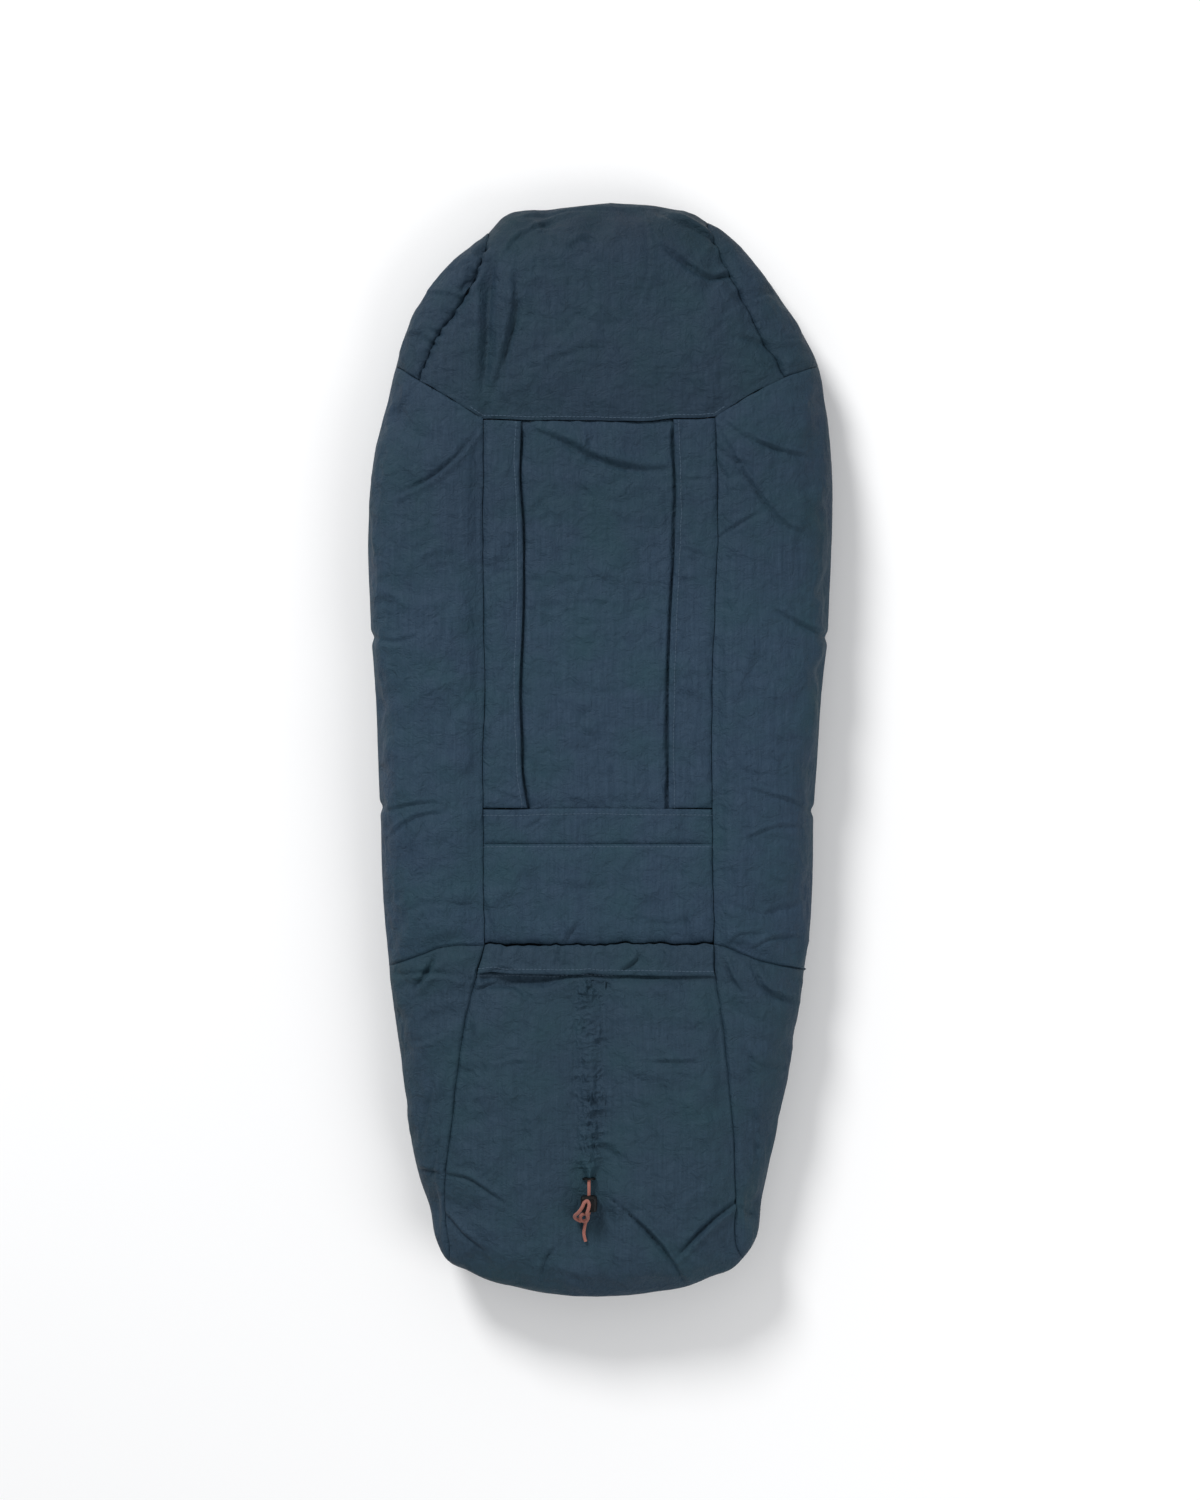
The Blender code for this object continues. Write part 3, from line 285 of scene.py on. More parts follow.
right_outline = line_through([(-2, -500), (26, -499), (53.1, -495.5), (78.7, -490.9), (102.5, -481.7),
    (122, -473.5), (131.5, -464), (141.5, -449), (148.2, -413.1), (155.6, -376.5), (162, -339.9),
    (170.2, -303.3), (176.6, -266.7), (183, -230.1), (188.5, -193.5), (193.1, -156.9), (195.6, -100),
    (195.8, -66), (199.6, -10), (203.1, 44.4), (208.6, 99.3), (211.4, 150), (213.2, 209.1), (213.2, 245.7),
    (210.5, 282.3), (205.9, 318.9), (200.5, 349), (189.4, 373.8), (166.5, 410.4), (139.1, 447),
    (120.8, 467.1), (100, 481.5), (86.9, 488.4), (65, 494.6), (10, 500)], 900) * mm

back_height = 80 * mm
edge_height = 34 * mm
side_round = 75 * mm
under_round = 30 * mm
under_inset = 52 * mm
toe_edge_height = 54 * mm
toe_lift = 32.5 * mm
zip_valley = 5 * mm


def ease(share):
    share = np.clip(share, 0, 1)
    return share * share * (3 - 2 * share)


def toe_share(y):
    return ease((-0.410 - y) / 0.058)


def widest_height(y):
    return edge_height + (toe_edge_height - edge_height) * toe_share(y)


def end_round(share):
    """Height of a rounded edge, from 0 at its rim to 1 on the flat. Its curve is fuller than a circle's."""
    return (1 - (1 - np.clip(share, 0, 1)) ** 2.4) ** (1 / 2.4)


def outline_x(outline, y):
    return np.interp(y, np.maximum.accumulate(outline[:, 1]), outline[:, 0])


def edge_y(x, head):
    """Height of the outline's head or toe end at x."""
    ends = []
    for outline in (left_outline, right_outline):
        widest = int(np.argmax(abs(outline[:, 0])))
        ends.append(outline[widest:][::-1] if head else outline[:widest + 1])
    left, right = ends
    across = np.concatenate([left[:, 0], right[::-1, 0]])
    up = np.concatenate([left[:, 1], right[::-1, 1]])
    order = np.argsort(across)
    return np.interp(x, across[order], up[order])


def inset_from(x, y):
    """Rough distance inwards from the outline."""
    sideways = np.minimum(x - outline_x(left_outline, y), outline_x(right_outline, y) - x)
    to_head = edge_y(x, True) - y
    to_toe = y - edge_y(x, False)
    small = 1e-6
    return sum(np.maximum(way, small) ** -2 for way in (sideways, to_head, to_toe)) ** -0.5


def back_top(x, y):
    low = widest_height(y)
    return low + (back_height - low) * end_round(inset_from(x, y) / side_round)


def zip_x(y):
    return (118.0 + (y / mm + 430.0) / 625.5 * 38.0) * mm


def ripple(x, y, size, seed):
    """Smooth unevenness between -1 and 1 that changes over about one size."""
    table = np.random.default_rng(seed).uniform(-1, 1, (64, 64))
    a, b = x / size + 640, y / size + 640
    i, j = np.floor(a).astype(int), np.floor(b).astype(int)
    s, t = ease(a - i), ease(b - j)
    low = table[i % 64, j % 64] * (1 - s) + table[(i + 1) % 64, j % 64] * s
    high = table[i % 64, (j + 1) % 64] * (1 - s) + table[(i + 1) % 64, (j + 1) % 64] * s
    return low * (1 - t) + high * t


def wave(x, size, seed):
    """Smooth unevenness along one direction."""
    return ripple(x, x * 0, size, seed)


def crumples(x, y, seed):
    """Short crisp folds that run every way, as stiff nylon takes them."""
    turned_x = x + 9 * mm * ripple(x, y, 40 * mm, seed + 50)
    turned_y = y + 9 * mm * ripple(x, y, 40 * mm, seed + 51)
    kinds = ((30, 0.5, 1.0), (17, 1.8, 0.6), (11, 0.7, 0.35), (6, 1.2, 0.14))
    folds = 0.0
    for number, (size, stretch, depth) in enumerate(kinds):
        field = ripple(turned_x * stretch, turned_y, size * mm, seed + 52 + number)
        folds = folds + depth * (0.35 - np.sqrt(field ** 2 + 0.006))
    return folds * (0.6 + 0.4 * ripple(x, y, 60 * mm, seed + 56))


def along(line, share):
    steps = np.linspace(0, 1, len(line))
    return np.stack([np.interp(share, steps, line[:, axis]) for axis in range(line.shape[1])], axis=-1)


edge_steps = np.array([0, 0.7, 1.5, 2.6, 4.2]) * mm


def edge_spaced(count, length, uniform=False):
    """Shares of a length: even in the middle, and at fixed small steps from both ends."""
    if uniform:
        return np.linspace(0, 1, count)
    near = edge_steps / length
    middle = np.linspace(near[-1], 1 - near[-1], count)[1:-1]
    return np.concatenate([near, middle, 1 - near[::-1]])


def panel_spots(inner, outer, start, end, pitch, under, uniform=False):
    """Places of a panel on a grid, rows along its inner line and columns across it."""
    long_way = way_along(outer)[-1]
    rows = edge_spaced(max(int(long_way / pitch), 6), long_way, uniform)
    dense = 1 - (1 - np.linspace(0, 1, 120)) ** 1.8
    a, b = rows[:, None, None], dense[None, :, None]
    ruled = along(inner, rows)[:, None] * (1 - b) + along(outer, rows)[:, None] * b
    lofted = along(start, dense)[None] * (1 - a) + along(end, dense)[None] * a
    corners = ((inner[0] * (1 - b) + outer[0] * b) * (1 - a) + (inner[-1] * (1 - b) + outer[-1] * b) * a)
    plan = ruled + lofted - corners
    spots = np.concatenate([plan, back_top(plan[..., 0], plan[..., 1])[..., None]], axis=2)
    rim = plan[:, -1]
    edge, low = under(rim)
    reach = np.linalg.norm(edge - rim, axis=1)
    roll = np.minimum(under_round, 0.75 * reach)
    step = np.linspace(0, 1, 70)[1:]
    turn = np.minimum(step / 0.6, 1) * pi / 2
    inward = roll[:, None] * (1 - np.cos(turn)) + np.maximum(step - 0.6, 0) / 0.4 * (reach - roll)[:, None]
    flat = rim[:, None] + (edge - rim)[:, None] * (inward / reach[:, None])[..., None]
    high = widest_height(rim[:, 1])
    tall = low[:, None] + (high - low)[:, None] * (1 - np.sin(turn))
    spots = np.concatenate([spots, np.concatenate([flat, tall[..., None]], axis=2)], axis=1)
    widths = np.linalg.norm(np.diff(spots, axis=1), axis=2).sum(axis=1)
    count = max(int(widths.max() / pitch), 6)
    made = []
    for row, width in zip(spots, widths):
        made.append(along_by_way(row, edge_spaced(count, width, uniform)))
    return np.array(made)


def along_by_way(row, shares):
    way = way_along(row)
    return np.stack([np.interp(shares * way[-1], way, row[:, axis]) for axis in range(3)], axis=-1)


def ways(spots):
    """Distance of each place from the first column and from the first row."""
    across = np.cumsum(np.linalg.norm(np.diff(spots, axis=1, prepend=spots[:, :1]), axis=2), axis=1)
    up = np.cumsum(np.linalg.norm(np.diff(spots, axis=0, prepend=spots[:1]), axis=2), axis=0)
    return across, up


def smooth(grid, times):
    """Evens a grid of directions or moves out along its rows and columns."""
    for _ in range(times):
        grid[1:-1] = 0.25 * grid[:-2] + 0.5 * grid[1:-1] + 0.25 * grid[2:]
        grid[:, 1:-1] = 0.25 * grid[:, :-2] + 0.5 * grid[:, 1:-1] + 0.25 * grid[:, 2:]


def from_edges(across, up):
    """Distance of each place of a grid from the nearest of its edges, along the cloth."""
    return np.minimum(np.minimum(across, across[:, -1:] - across), np.minimum(up, up[-1:] - up))


def outward(spots):
    """Directions out of a grid, read over a few cells so that narrow corners don't turn them."""
    rows, columns = np.arange(spots.shape[0]), np.arange(spots.shape[1])
    ahead_row, behind_row = np.minimum(rows + 4, rows[-1]), np.maximum(rows - 4, 0)
    ahead, behind = np.minimum(columns + 2, columns[-1]), np.maximum(columns - 2, 0)
    normals = np.cross(spots[:, ahead] - spots[:, behind], spots[ahead_row] - spots[behind_row])
    normals /= np.maximum(np.linalg.norm(normals, axis=2, keepdims=True), 1e-12)
    y = spots[..., 1]
    middle = np.stack([0.3 * spots[..., 0], np.clip(y, -0.42, 0.40), widest_height(y)], axis=2)
    normals *= np.where(((spots - middle) * normals).sum(axis=2, keepdims=True) < 0, -1.0, 1.0)
    smooth(normals, 3)
    return normals / np.maximum(np.linalg.norm(normals, axis=2, keepdims=True), 1e-12)


def sheet_mesh(name, spots):
    """A grid mesh with its faces outwards and a UV map in metres along the cloth."""
    rows, columns = spots.shape[:2]
    work = bmesh.new()
    bmesh.ops.create_grid(work, x_segments=columns - 1, y_segments=rows - 1, size=0.5)
    mesh = bpy.data.meshes.new(name)
    work.to_mesh(mesh)
    work.free()
    mesh.vertices.foreach_set("co", spots.reshape(-1, 3).astype(np.float32).ravel())
    across, up = ways(spots)
    cloth_places = np.stack([across, up], axis=2).reshape(-1, 2)
    corners = np.zeros(len(mesh.loops), int)
    mesh.loops.foreach_get("vertex_index", corners)
    mesh.uv_layers.new(name="cloth").data.foreach_set("uv", cloth_places[corners].astype(np.float32).ravel())
    mesh.update()
    facing = np.zeros(len(mesh.polygons) * 3)
    mesh.polygons.foreach_get("normal", facing)
    if (facing.reshape(rows - 1, columns - 1, 3) * outward(spots)[:-1, :-1]).sum() < 0:
        mesh.flip_normals()
    return mesh


def blown_up(spots):
    """Cloth simulation of a sewn-down panel: how far each place moves when the wadding fills it."""
    name = "cloth_trial"
    piece = link(name, sheet_mesh(name, spots))
    rows, columns = spots.shape[:2]
    edge = [i for i in range(rows * columns)
            if i % columns in (0, columns - 1) or i // columns in (0, rows - 1)]
    piece.vertex_groups.new(name="sewn").add(edge, 1.0, 'REPLACE')
    cloth = piece.modifiers.new("cloth", 'CLOTH')
    cloth.settings.quality = 4
    cloth.settings.mass = 0.2
    cloth.settings.tension_stiffness = 20
    cloth.settings.compression_stiffness = 8
    cloth.settings.shear_stiffness = 6
    cloth.settings.bending_stiffness = 0.6
    cloth.settings.shrink_min = -0.025
    cloth.settings.vertex_group_mass = "sewn"
    cloth.settings.use_pressure = True
    cloth.settings.uniform_pressure_force = 4.0
    cloth.settings.effector_weights.gravity = 0
    cloth.collision_settings.use_collision = False
    steps = 20
    cloth.point_cache.frame_start = 1
    cloth.point_cache.frame_end = steps
    scene = bpy.context.scene
    for step in range(1, steps + 1):
        scene.frame_set(step)
    done = piece.evaluated_get(bpy.context.evaluated_depsgraph_get())
    places = np.zeros(rows * columns * 3, np.float32)
    done.data.vertices.foreach_get("co", places)
    scene.frame_set(1)
    bpy.data.objects.remove(piece)
    return places.reshape(rows, columns, 3).astype(float) - spots


def creased(spots, creases):
    """Rise and fall beside creases, each given as places in mm, its depth and its width in mm."""
    lift = np.zeros(spots.shape[:2])
    on_top = ease((spots[..., 2] - 0.040) / 0.015)
    for places, depth, width in creases:
        line = line_through(places, 70) * mm
        last = len(line) - 1
        width, depth = 0.58 * width * mm, 1.5 * depth
        low, high = line.min(axis=0) - 6 * width, line.max(axis=0) + 6 * width
        close = ((spots[..., :2] > low) & (spots[..., :2] < high)).all(axis=2) & (on_top > 0)
        if not close.any():
            continue
        gap = spots[close][:, None, :2] - line[None]
        away = np.linalg.norm(gap, axis=2)
        nearest = away.argmin(axis=1)
        least = away.min(axis=1)
        tangent = np.gradient(line, axis=0)
        tangent /= np.linalg.norm(tangent, axis=1, keepdims=True)
        beside = gap[np.arange(len(gap)), nearest]
        side = np.sign(tangent[nearest, 0] * beside[:, 1] - tangent[nearest, 1] * beside[:, 0])
        fade = np.sin(pi * np.clip(nearest / last, 0.02, 0.98)) ** 0.6
        past = np.where((nearest == 0) | (nearest == last), np.exp(-(least / width) ** 2), 1.0)
        valley = 0.55 * np.exp(-(least / width) ** 2) + 0.45 * np.exp(-least / (0.8 * width))
        fold = 0.6 * np.exp(-((least * side - 2.0 * width) / (1.5 * width)) ** 2) - valley
        lift[close] += depth * mm * fade * past * fold * on_top[close]
    return lift


def sewn_panel(spots, normals, seams, unevenness, creases, pucker, seed, extra, pits):
    """Draws a panel in at its seams, puckers it there and lays wrinkles and creases into it. seams gives
    how deep its edges sink in mm, and pits how deep its gathers do: first and last column, first and last
    row."""
    across, up = ways(spots)
    inward = np.zeros(spots.shape[:2])
    gathers = np.zeros(spots.shape[:2])
    columns = [(across, seams[0], spots[:, :1]), (across[:, -1:] - across, seams[1], spots[:, -1:])]
    rows = [(up, seams[2], spots[:1]), (up[-1:] - up, seams[3], spots[-1:])]
    calm = np.ones(spots.shape[:2])
    for (away, depth, seam), pit in zip(columns + rows, pits):
        key = seam[..., 0] + seam[..., 1] * 1.37 + seam[..., 2]
        sink = np.exp(-away / (7 * mm)) * 0.75 + np.exp(-away / (1.6 * mm)) * 0.5
        sink = sink - 0.22 * np.exp(-((away - 2.6 * mm) / (1.2 * mm)) ** 2)
        gathered = np.clip(wave(key, 9 * mm, 14) + 0.35 * wave(key, 4 * mm, 15), 0, 1)
        inward += (depth * mm * sink + pit * mm * gathered * np.exp(-(away / (4.5 * mm)) ** 1.5)) ** 3
        busy = 0.55 + 0.45 * ripple(key, key * 0 + seed, 55 * mm, 31)
        folds = wave(key, 6.5 * mm, 11) * 0.6 + wave(key, 13 * mm, 12) * 0.7
        folds = folds * np.exp(-away / (13 * mm)) * (1 - np.exp(-away / (2 * mm)))
        gathers += depth / 3 * pucker * mm * busy * folds
        calm *= 1 - np.exp(-away / (9 * mm))
    inward = (np.cbrt(inward) + gathers) * (1 - 1.05 * steady_rim(spots))
    u, v = across + seed * 0.37, up + seed * 0.11
    soft = ripple(u, v, 48 * mm, seed + 2) * 1.7 + ripple(u, v, 24 * mm, seed + 3) * 0.9
    soft += 2.8 * crumples(u, v, seed + 4)
    lift = soft * mm * unevenness * calm * (1 - steady_rim(spots)) + creased(spots, creases)
    if extra is not None:
        lift = lift + extra(spots)
    return spots + normals * (lift - inward)[..., None]


def steady_rim(spots):
    """Share by which a panel is held to the outline: most at the widest height, none on the flat back."""
    return 0.92 * np.exp(-((spots[..., 2] - widest_height(spots[..., 1])) / (11 * mm)) ** 2)


def quilt_notches(places):
    """Quilting seams that reach the edge: they pinch the rolled edge and fade out over the back."""
    def lift(spots):
        fade = ease((0.074 - spots[..., 2]) / 0.030) * ease((spots[..., 2] + 0.012) / 0.014)
        total = np.zeros(spots.shape[:2])
        for y in places:
            away = (spots[..., 1] - y * mm + 0.004 * wave(spots[..., 0], 0.02, 8)) / (4.5 * mm)
            total -= 2.6 * mm * np.exp(-away ** 2) - 0.5 * mm * np.exp(-(away / 3.2) ** 2)
        return total * fade
    return lift


def closed_pad(name, spots, underside, cloth, lining=None, holes=()):
    """A closed pad from a grid of top places to an underside: one height, a grid of heights, or of places.
    Holes right through it are given by their x and y limits."""
    if np.ndim(underside) < 3:
        low = np.broadcast_to(underside, spots.shape[:2])
        underside = np.stack([spots[..., 0], spots[..., 1], low], axis=2)
    mesh = sheet_mesh(name, spots)
    work = bmesh.new()
    work.from_mesh(mesh)
    order = work.verts.layers.int.new("place")
    for number, vert in enumerate(work.verts):
        vert[order] = number
    inside = []
    for face in work.faces if holes else ():
        spot = face.calc_center_median()
        if any(left < spot.x < right and low < spot.y < high for left, right, low, high in holes):
            inside.append(face)
    bmesh.ops.delete(work, geom=inside, context='FACES')
    made = bmesh.ops.extrude_face_region(work, geom=work.faces[:], use_keep_orig=True)
    places = underside.reshape(-1, 3)
    for item in made["geom"]:
        if isinstance(item, bmesh.types.BMVert):
            item.co = places[item[order]]
        elif isinstance(item, bmesh.types.BMFace):
            item.material_index = 1 if lining else 0
            item.normal_flip()
    work.verts.layers.int.remove(order)
    bmesh.ops.recalc_face_normals(work, faces=work.faces[:])
    work.to_mesh(mesh)
    work.free()
    piece = link(name, mesh, *([cloth, lining] if lining else [cloth]))
    piece.data.shade_smooth()
    return piece


# Navy nylon: a matt plain weave. Threads are 0.25 mm apart, too fine to show, and drawn at 1.1 mm.
thread_pitch_mm = 1.1


def woven_nylon(name, deep, pale, cool, shade_from, shade_to, painted_shade_level):
    """Matt woven nylon: threads, faint streaks along the muff, and patches where the dye took unevenly.
    Between two places along Y its colour is darkened, down to a level: painted shade."""
    material, tree, shader = new_material(name, Roughness=0.62, IOR=1.5, Specular_IOR_Level=0.15)
    cloth = (node(tree, "UVMap", {"uv_map": "cloth"}), "UV")
    scale = pi * 2 * 1000 / thread_pitch_mm / 20
    threads = [(node(tree, "TexWave", {"bands_direction": way}, Vector=cloth, Scale=scale, Distortion=2.2,
                     Detail=1.0, Detail_Scale=1.5), "Fac") for way in ("X", "Y")]
    weave = maths(tree, "MULTIPLY", _0=threads[0], _1=threads[1])
    stretched = (node(tree, "Mapping", Vector=on_object(tree), Scale=(1.0, 0.05, 1.0)), "Vector")
    dye = mixed(tree, noise(tree, 420.0, place=stretched, Detail=3.0, Roughness=0.7), deep, pale)
    patches = noise(tree, 17.0, Detail=3.0, Roughness=0.6)
    uneven = mixed(tree, ranged(tree, patches, 0.0, 0.8, From_Min=0.40, From_Max=0.72), dye, cool)
    shade = mixed(tree, 1.0, uneven, ranged(tree, weave, 0.95, 1.07), "MULTIPLY")
    level = (node(tree, "SeparateXYZ", Vector=on_object(tree)), "Y")
    painted_shade = ranged(tree, level, 1.0, painted_shade_level, {"interpolation_type": "SMOOTHSTEP"}, From_Min=shade_from,
                     From_Max=shade_to)
    crinkle = noise(tree, 26.0, {"noise_type": "RIDGED_MULTIFRACTAL"}, Detail=3.0, Distortion=0.5)
    creasing = noise(tree, 90.0, Detail=4.0, Roughness=0.65, Distortion=0.5)
    height = maths(tree, "ADD", _0=weave, _1=noise(tree, 900.0, Detail=1.0))
    folded = raised(tree, creasing, 0.9, 0.0042, Normal=raised(tree, crinkle, 0.9, 0.0062))
    set_inputs(tree, shader, Base_Color=mixed(tree, 1.0, shade, painted_shade, "MULTIPLY"),
               Normal=raised(tree, height, 0.45, 0.0004, Normal=folded))
    return material


# Painted shade along Y. The shell's nylon darkens to 0.86 from y 0.10 m to 0.24 m and beyond, where the hood
# shades the back. The hood's darkens to 0.76 on its rolled rim beyond y 0.43 m, damping the lamp's light
# there. The pouch's darkens to 0.94 from y -0.23 m to -0.20 m and beyond, under the band's edge and on the
# band.
shell_nylon = woven_nylon("navy_woven_nylon", "#1f3243", "#374b5e", "#27424d", 0.10, 0.24, 0.86)
hood_nylon = woven_nylon("hood_woven_nylon", "#1a2b39", "#2f4152", "#233b45", 0.43, 0.485, 0.76)
foot_nylon = woven_nylon("foot_woven_nylon", "#1f3240", "#344859", "#27414b", -0.23, -0.20, 0.94)

# Inside each panel: a smooth polyester pocketing, dull and almost black
pocketing = fine_grained("black_pocketing", ["#17212a", "#243039"], 700.0, Roughness=0.8)


# Seam lines of the back, read off the photograph in mm. The left and right halves differ a little, as sewn.
seam_ends = [(-106.0, 299.5), (-60.0, 298.0), (0.0, 297.0), (60.0, 298.5), (104.5, 301.5)]
left_shoulder = [(-106.0, 299.5), (-140.0, 320.0), (-166.0, 335.5), (-187.3, 349.0)]
right_shoulder = [(104.5, 301.5), (137.0, 321.0), (169.0, 337.5), (200.3, 349.3)]
left_side_seam = [(-105.0, -178.5), (-106.5, -60.0), (-105.0, 60.0), (-106.5, 180.0), (-106.0, 299.5)]
right_side_seam = [(103.5, -177.5), (101.6, -20.0), (102.5, 85.0), (106.2, 175.0), (107.0, 250.0),
                   (104.5, 301.5)]
left_waist = [(-105.0, -178.5), (-146.0, -181.0), (-170.0, -190.0), (-193.8, -198.5)]
right_waist = [(103.5, -177.5), (116.0, -180.5), (140.0, -190.5), (189.4, -202.5)]
left_wing_seam = [(-166.0, 335.5), (-162.5, 346.0), (-146.4, 380.2), (-130.9, 401.2), (-119.0, 422.3),
                  (-108.5, 448.0), (-102.8, 472.4)]
right_wing_seam = [(169.0, 337.5), (163.5, 349.0), (146.4, 376.5), (130.8, 407.6), (116.2, 440.5),
                   (107.0, 463.0), (99.2, 482.0)]
left_foot_seam = [(-105.0, -178.5), (-113.0, -209.0), (-121.0, -240.0), (-128.1, -285.0), (-135.4, -337.2),
                  (-140.9, -379.3), (-142.0, -428.7), (-138.8, -452.0), (-137.8, -468.3)]
right_foot_seam = [(103.5, -177.5), (105.4, -209.0), (110.0, -240.0), (116.4, -291.4), (121.7, -346.3),
                   (124.6, -406.7), (126.2, -455.0), (130.6, -465.5)]
mouth_y = -202.8


def seam(points):
    """A seam through places in mm. It wanders by under a millimetre, as sewn nylon does."""
    line = line_through(points, 240) * mm
    way = way_along(line)
    if way[-1] < 5 * mm:
        return line
    aside = np.gradient(line, axis=0)[:, ::-1] * (-1, 1)
    aside /= np.linalg.norm(aside, axis=1, keepdims=True)
    wander = ripple(way + line[0, 0], way * 0 + line[0, 1], 26 * mm, 17) + 0.4 * wave(way, 11 * mm, 18)
    held = ease(np.minimum(way, way[-1] - way) / (18 * mm))
    return line + aside * (0.8 * mm * wander * held)[:, None]


def outline_between(outline, first, last):
    """The part of the outline from its place nearest to one point, to that nearest to another."""
    a, b = (int(np.argmin(np.linalg.norm(outline - np.array(p) * mm, axis=1))) for p in (first, last))
    part = outline[a:b + 1] if a < b else outline[b:a + 1][::-1]
    part = line_through(part[::3] if len(part) > 12 else part, 300)
    part[0], part[-1] = np.array(first) * mm, np.array(last) * mm
    return part


# Under edges: where a panel ends beneath, at the opening round the face, at the zips or at the toe
zip_top_y = 200 * mm
shoulder_y = 347 * mm


def under_hood(rim):
    centre = np.stack([rim[:, 0] * 0.3, shoulder_y + 0.15 * (rim[:, 1] - shoulder_y)], axis=1)
    inward = centre - rim
    inward /= np.linalg.norm(inward, axis=1, keepdims=True)
    return rim + inward * under_inset, np.full(len(rim), 1 * mm)


def under_side(rim):
    side = np.sign(rim[:, 0])
    by_zip = zip_x(rim[:, 1]) + zip_valley
    by_inset = abs(rim[:, 0]) - under_inset
    share = ease((rim[:, 1] - zip_top_y) / (2 * under_inset))
    edge = np.stack([side * (by_zip + share * (by_inset - by_zip)), rim[:, 1]], axis=1)
    return edge, 1 * mm + (toe_lift - 1 * mm) * toe_share(rim[:, 1])


def under_toe(rim):
    lip_half = zip_x(-0.468) + zip_valley
    lip = np.stack([rim[:, 0] * lip_half / (138 * mm), np.full(len(rim), -469.4 * mm)], axis=1)
    return lip, np.full(len(rim), toe_lift)


# Side panels: one long panel on each side, from the side seam round the edge to the zip. Quilting seams
# reach the edge in two places. Wadding 10 mm thick fills them and they crease where the muff bends.
side_creases = {"left": [
    ([(-110, 291), (-128, 267), (-153, 246), (-188, 229)], 3.2, 3.2), ([(-112, 240), (-98, 227)], 1.2, 2),
    ([(-199, -59), (-174, -52), (-146, -49)], 1.6, 3), ([(-195, -83), (-168, -63), (-140, -58)], 1.6, 3),
    ([(-208, 101), (-185, 97), (-160, 104)], 1.1, 3.5), ([(-111, 60), (-138, 20), (-148, -20)], 0.8, 5),
    ([(-175, 190), (-185, 140), (-180, 80)], 0.8, 6), ([(-110, -150), (-140, -140), (-185, -150)], 1.0, 5),
    ([(-130, 200), (-140, 130), (-135, 70)], 0.8, 7)
], "right": [
    ([(106, 301), (128, 285), (154, 273), (188, 264)], 2.8, 3),
    ([(106, 293), (125, 258), (146, 227), (167, 203), (185, 195)], 2.8, 3.2),
    ([(106, 274), (120, 262), (139, 256)], 1.8, 2.6), ([(106, 262), (116, 243)], 1.6, 2.4),
    ([(103, 188), (131, 206), (150, 216)], 1.2, 3), ([(155, 127), (192, 108), (212, 101)], 1.9, 3),
    ([(130, -36), (169, -47), (198, -57)], 1.6, 3), ([(128, -85), (160, -72), (197, -72)], 1.1, 3),
    ([(110, 10), (130, -20), (165, -25)], 0.9, 5), ([(150, 160), (178, 60), (175, 0)], 0.8, 7),
    ([(112, -140), (150, -150), (186, -140)], 1.1, 5), ([(116, -182), (122, -172), (149, -168)], 1.2, 2.5),
    ([(135, -184), (156, -173), (184, -172)], 1.4, 2.8)
]}
panel_wadding, foot_wadding = 10 * mm, 5 * mm
sewn = {}
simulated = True


def shares_of(across, up):
    """How far up the grid each row lies and how far across it each column, as shares of the whole."""
    return (up / up[-1:]).mean(axis=1), (across / across[:, -1:]).mean(axis=0)


def filled(spots, cap, uniform_spots):
    """Adds the cloth simulation's swelling to a panel, and caps it."""
    if not simulated:
        return spots
    moves = blown_up(uniform_spots)
    out = outward(uniform_spots)
    straight = (moves * out).sum(axis=2, keepdims=True) * out
    moves = straight + 0.3 * (moves - straight)
    size = np.linalg.norm(moves, axis=2, keepdims=True)
    moves *= np.minimum(1, cap / np.maximum(size, 1e-9))
    fine_across, fine_up = ways(spots)
    to_row, to_column = (np.interp(fine, coarse, np.arange(len(coarse))) for fine, coarse in zip(
        shares_of(fine_across, fine_up), shares_of(*ways(uniform_spots))))
    i = np.minimum(to_row.astype(int), moves.shape[0] - 2)
    j = np.minimum(to_column.astype(int), moves.shape[1] - 2)
    s, t = (to_row - i)[:, None, None], (to_column - j)[None, :, None]
    fine = (moves[i][:, j] * (1 - s) * (1 - t) + moves[i + 1][:, j] * s * (1 - t)
            + moves[i][:, j + 1] * (1 - s) * t + moves[i + 1][:, j + 1] * s * t)
    smooth(fine, 8)
    return spots + fine * ease(from_edges(fine_across, fine_up) / (16 * mm))[..., None]


def shell_panel(name, replaced, edges, under, seams, thickness, cloth, creases, seed, unevenness=1.0,
                pucker=0.9, extra=None, pits=(0, 0, 0, 0), held=None, cap=7 * mm):
    """A sewn panel, closed with its wadding and pocketing, which are thinner towards its seams."""
    flat = panel_spots(*edges, 1.8 * mm, under)
    normals = outward(flat)
    spots = filled(flat, cap, panel_spots(*edges, 5 * mm, under, uniform=True))
    spots = flat + (spots - flat) * (1 - steady_rim(flat))[..., None]
    spots = sewn_panel(spots, normals, seams, unevenness, creases, pucker, seed, extra, pits)
    if held is not None:
        spots = held(spots)
    spots[..., 2] = np.maximum(spots[..., 2], 0.4 * mm)
    depth = thickness * (0.2 + 0.8 * (1 - np.exp(-from_edges(*ways(spots)) / (8 * mm))))
    underside = spots - normals * depth[..., None]
    riding(closed_pad(name, spots, underside, cloth, pocketing), "shell", replaced, fill=0.6)
    sewn[name] = spots


def flat_by(seam_line, reach):
    """Keeps a panel's wadding low beside one of its seams, where it is pressed flat."""
    def held(spots):
        away = np.linalg.norm(spots[..., None, :2] - seam_line[::8], axis=3).min(axis=2)
        rise = spots[..., 2] - back_top(spots[..., 0], spots[..., 1])
        low = rise * (0.3 + 0.7 * ease(away / reach))
        spots[..., 2] += np.where(spots[..., 2] > 70 * mm, np.minimum(rise, low) - rise, 0)
        return spots
    return held


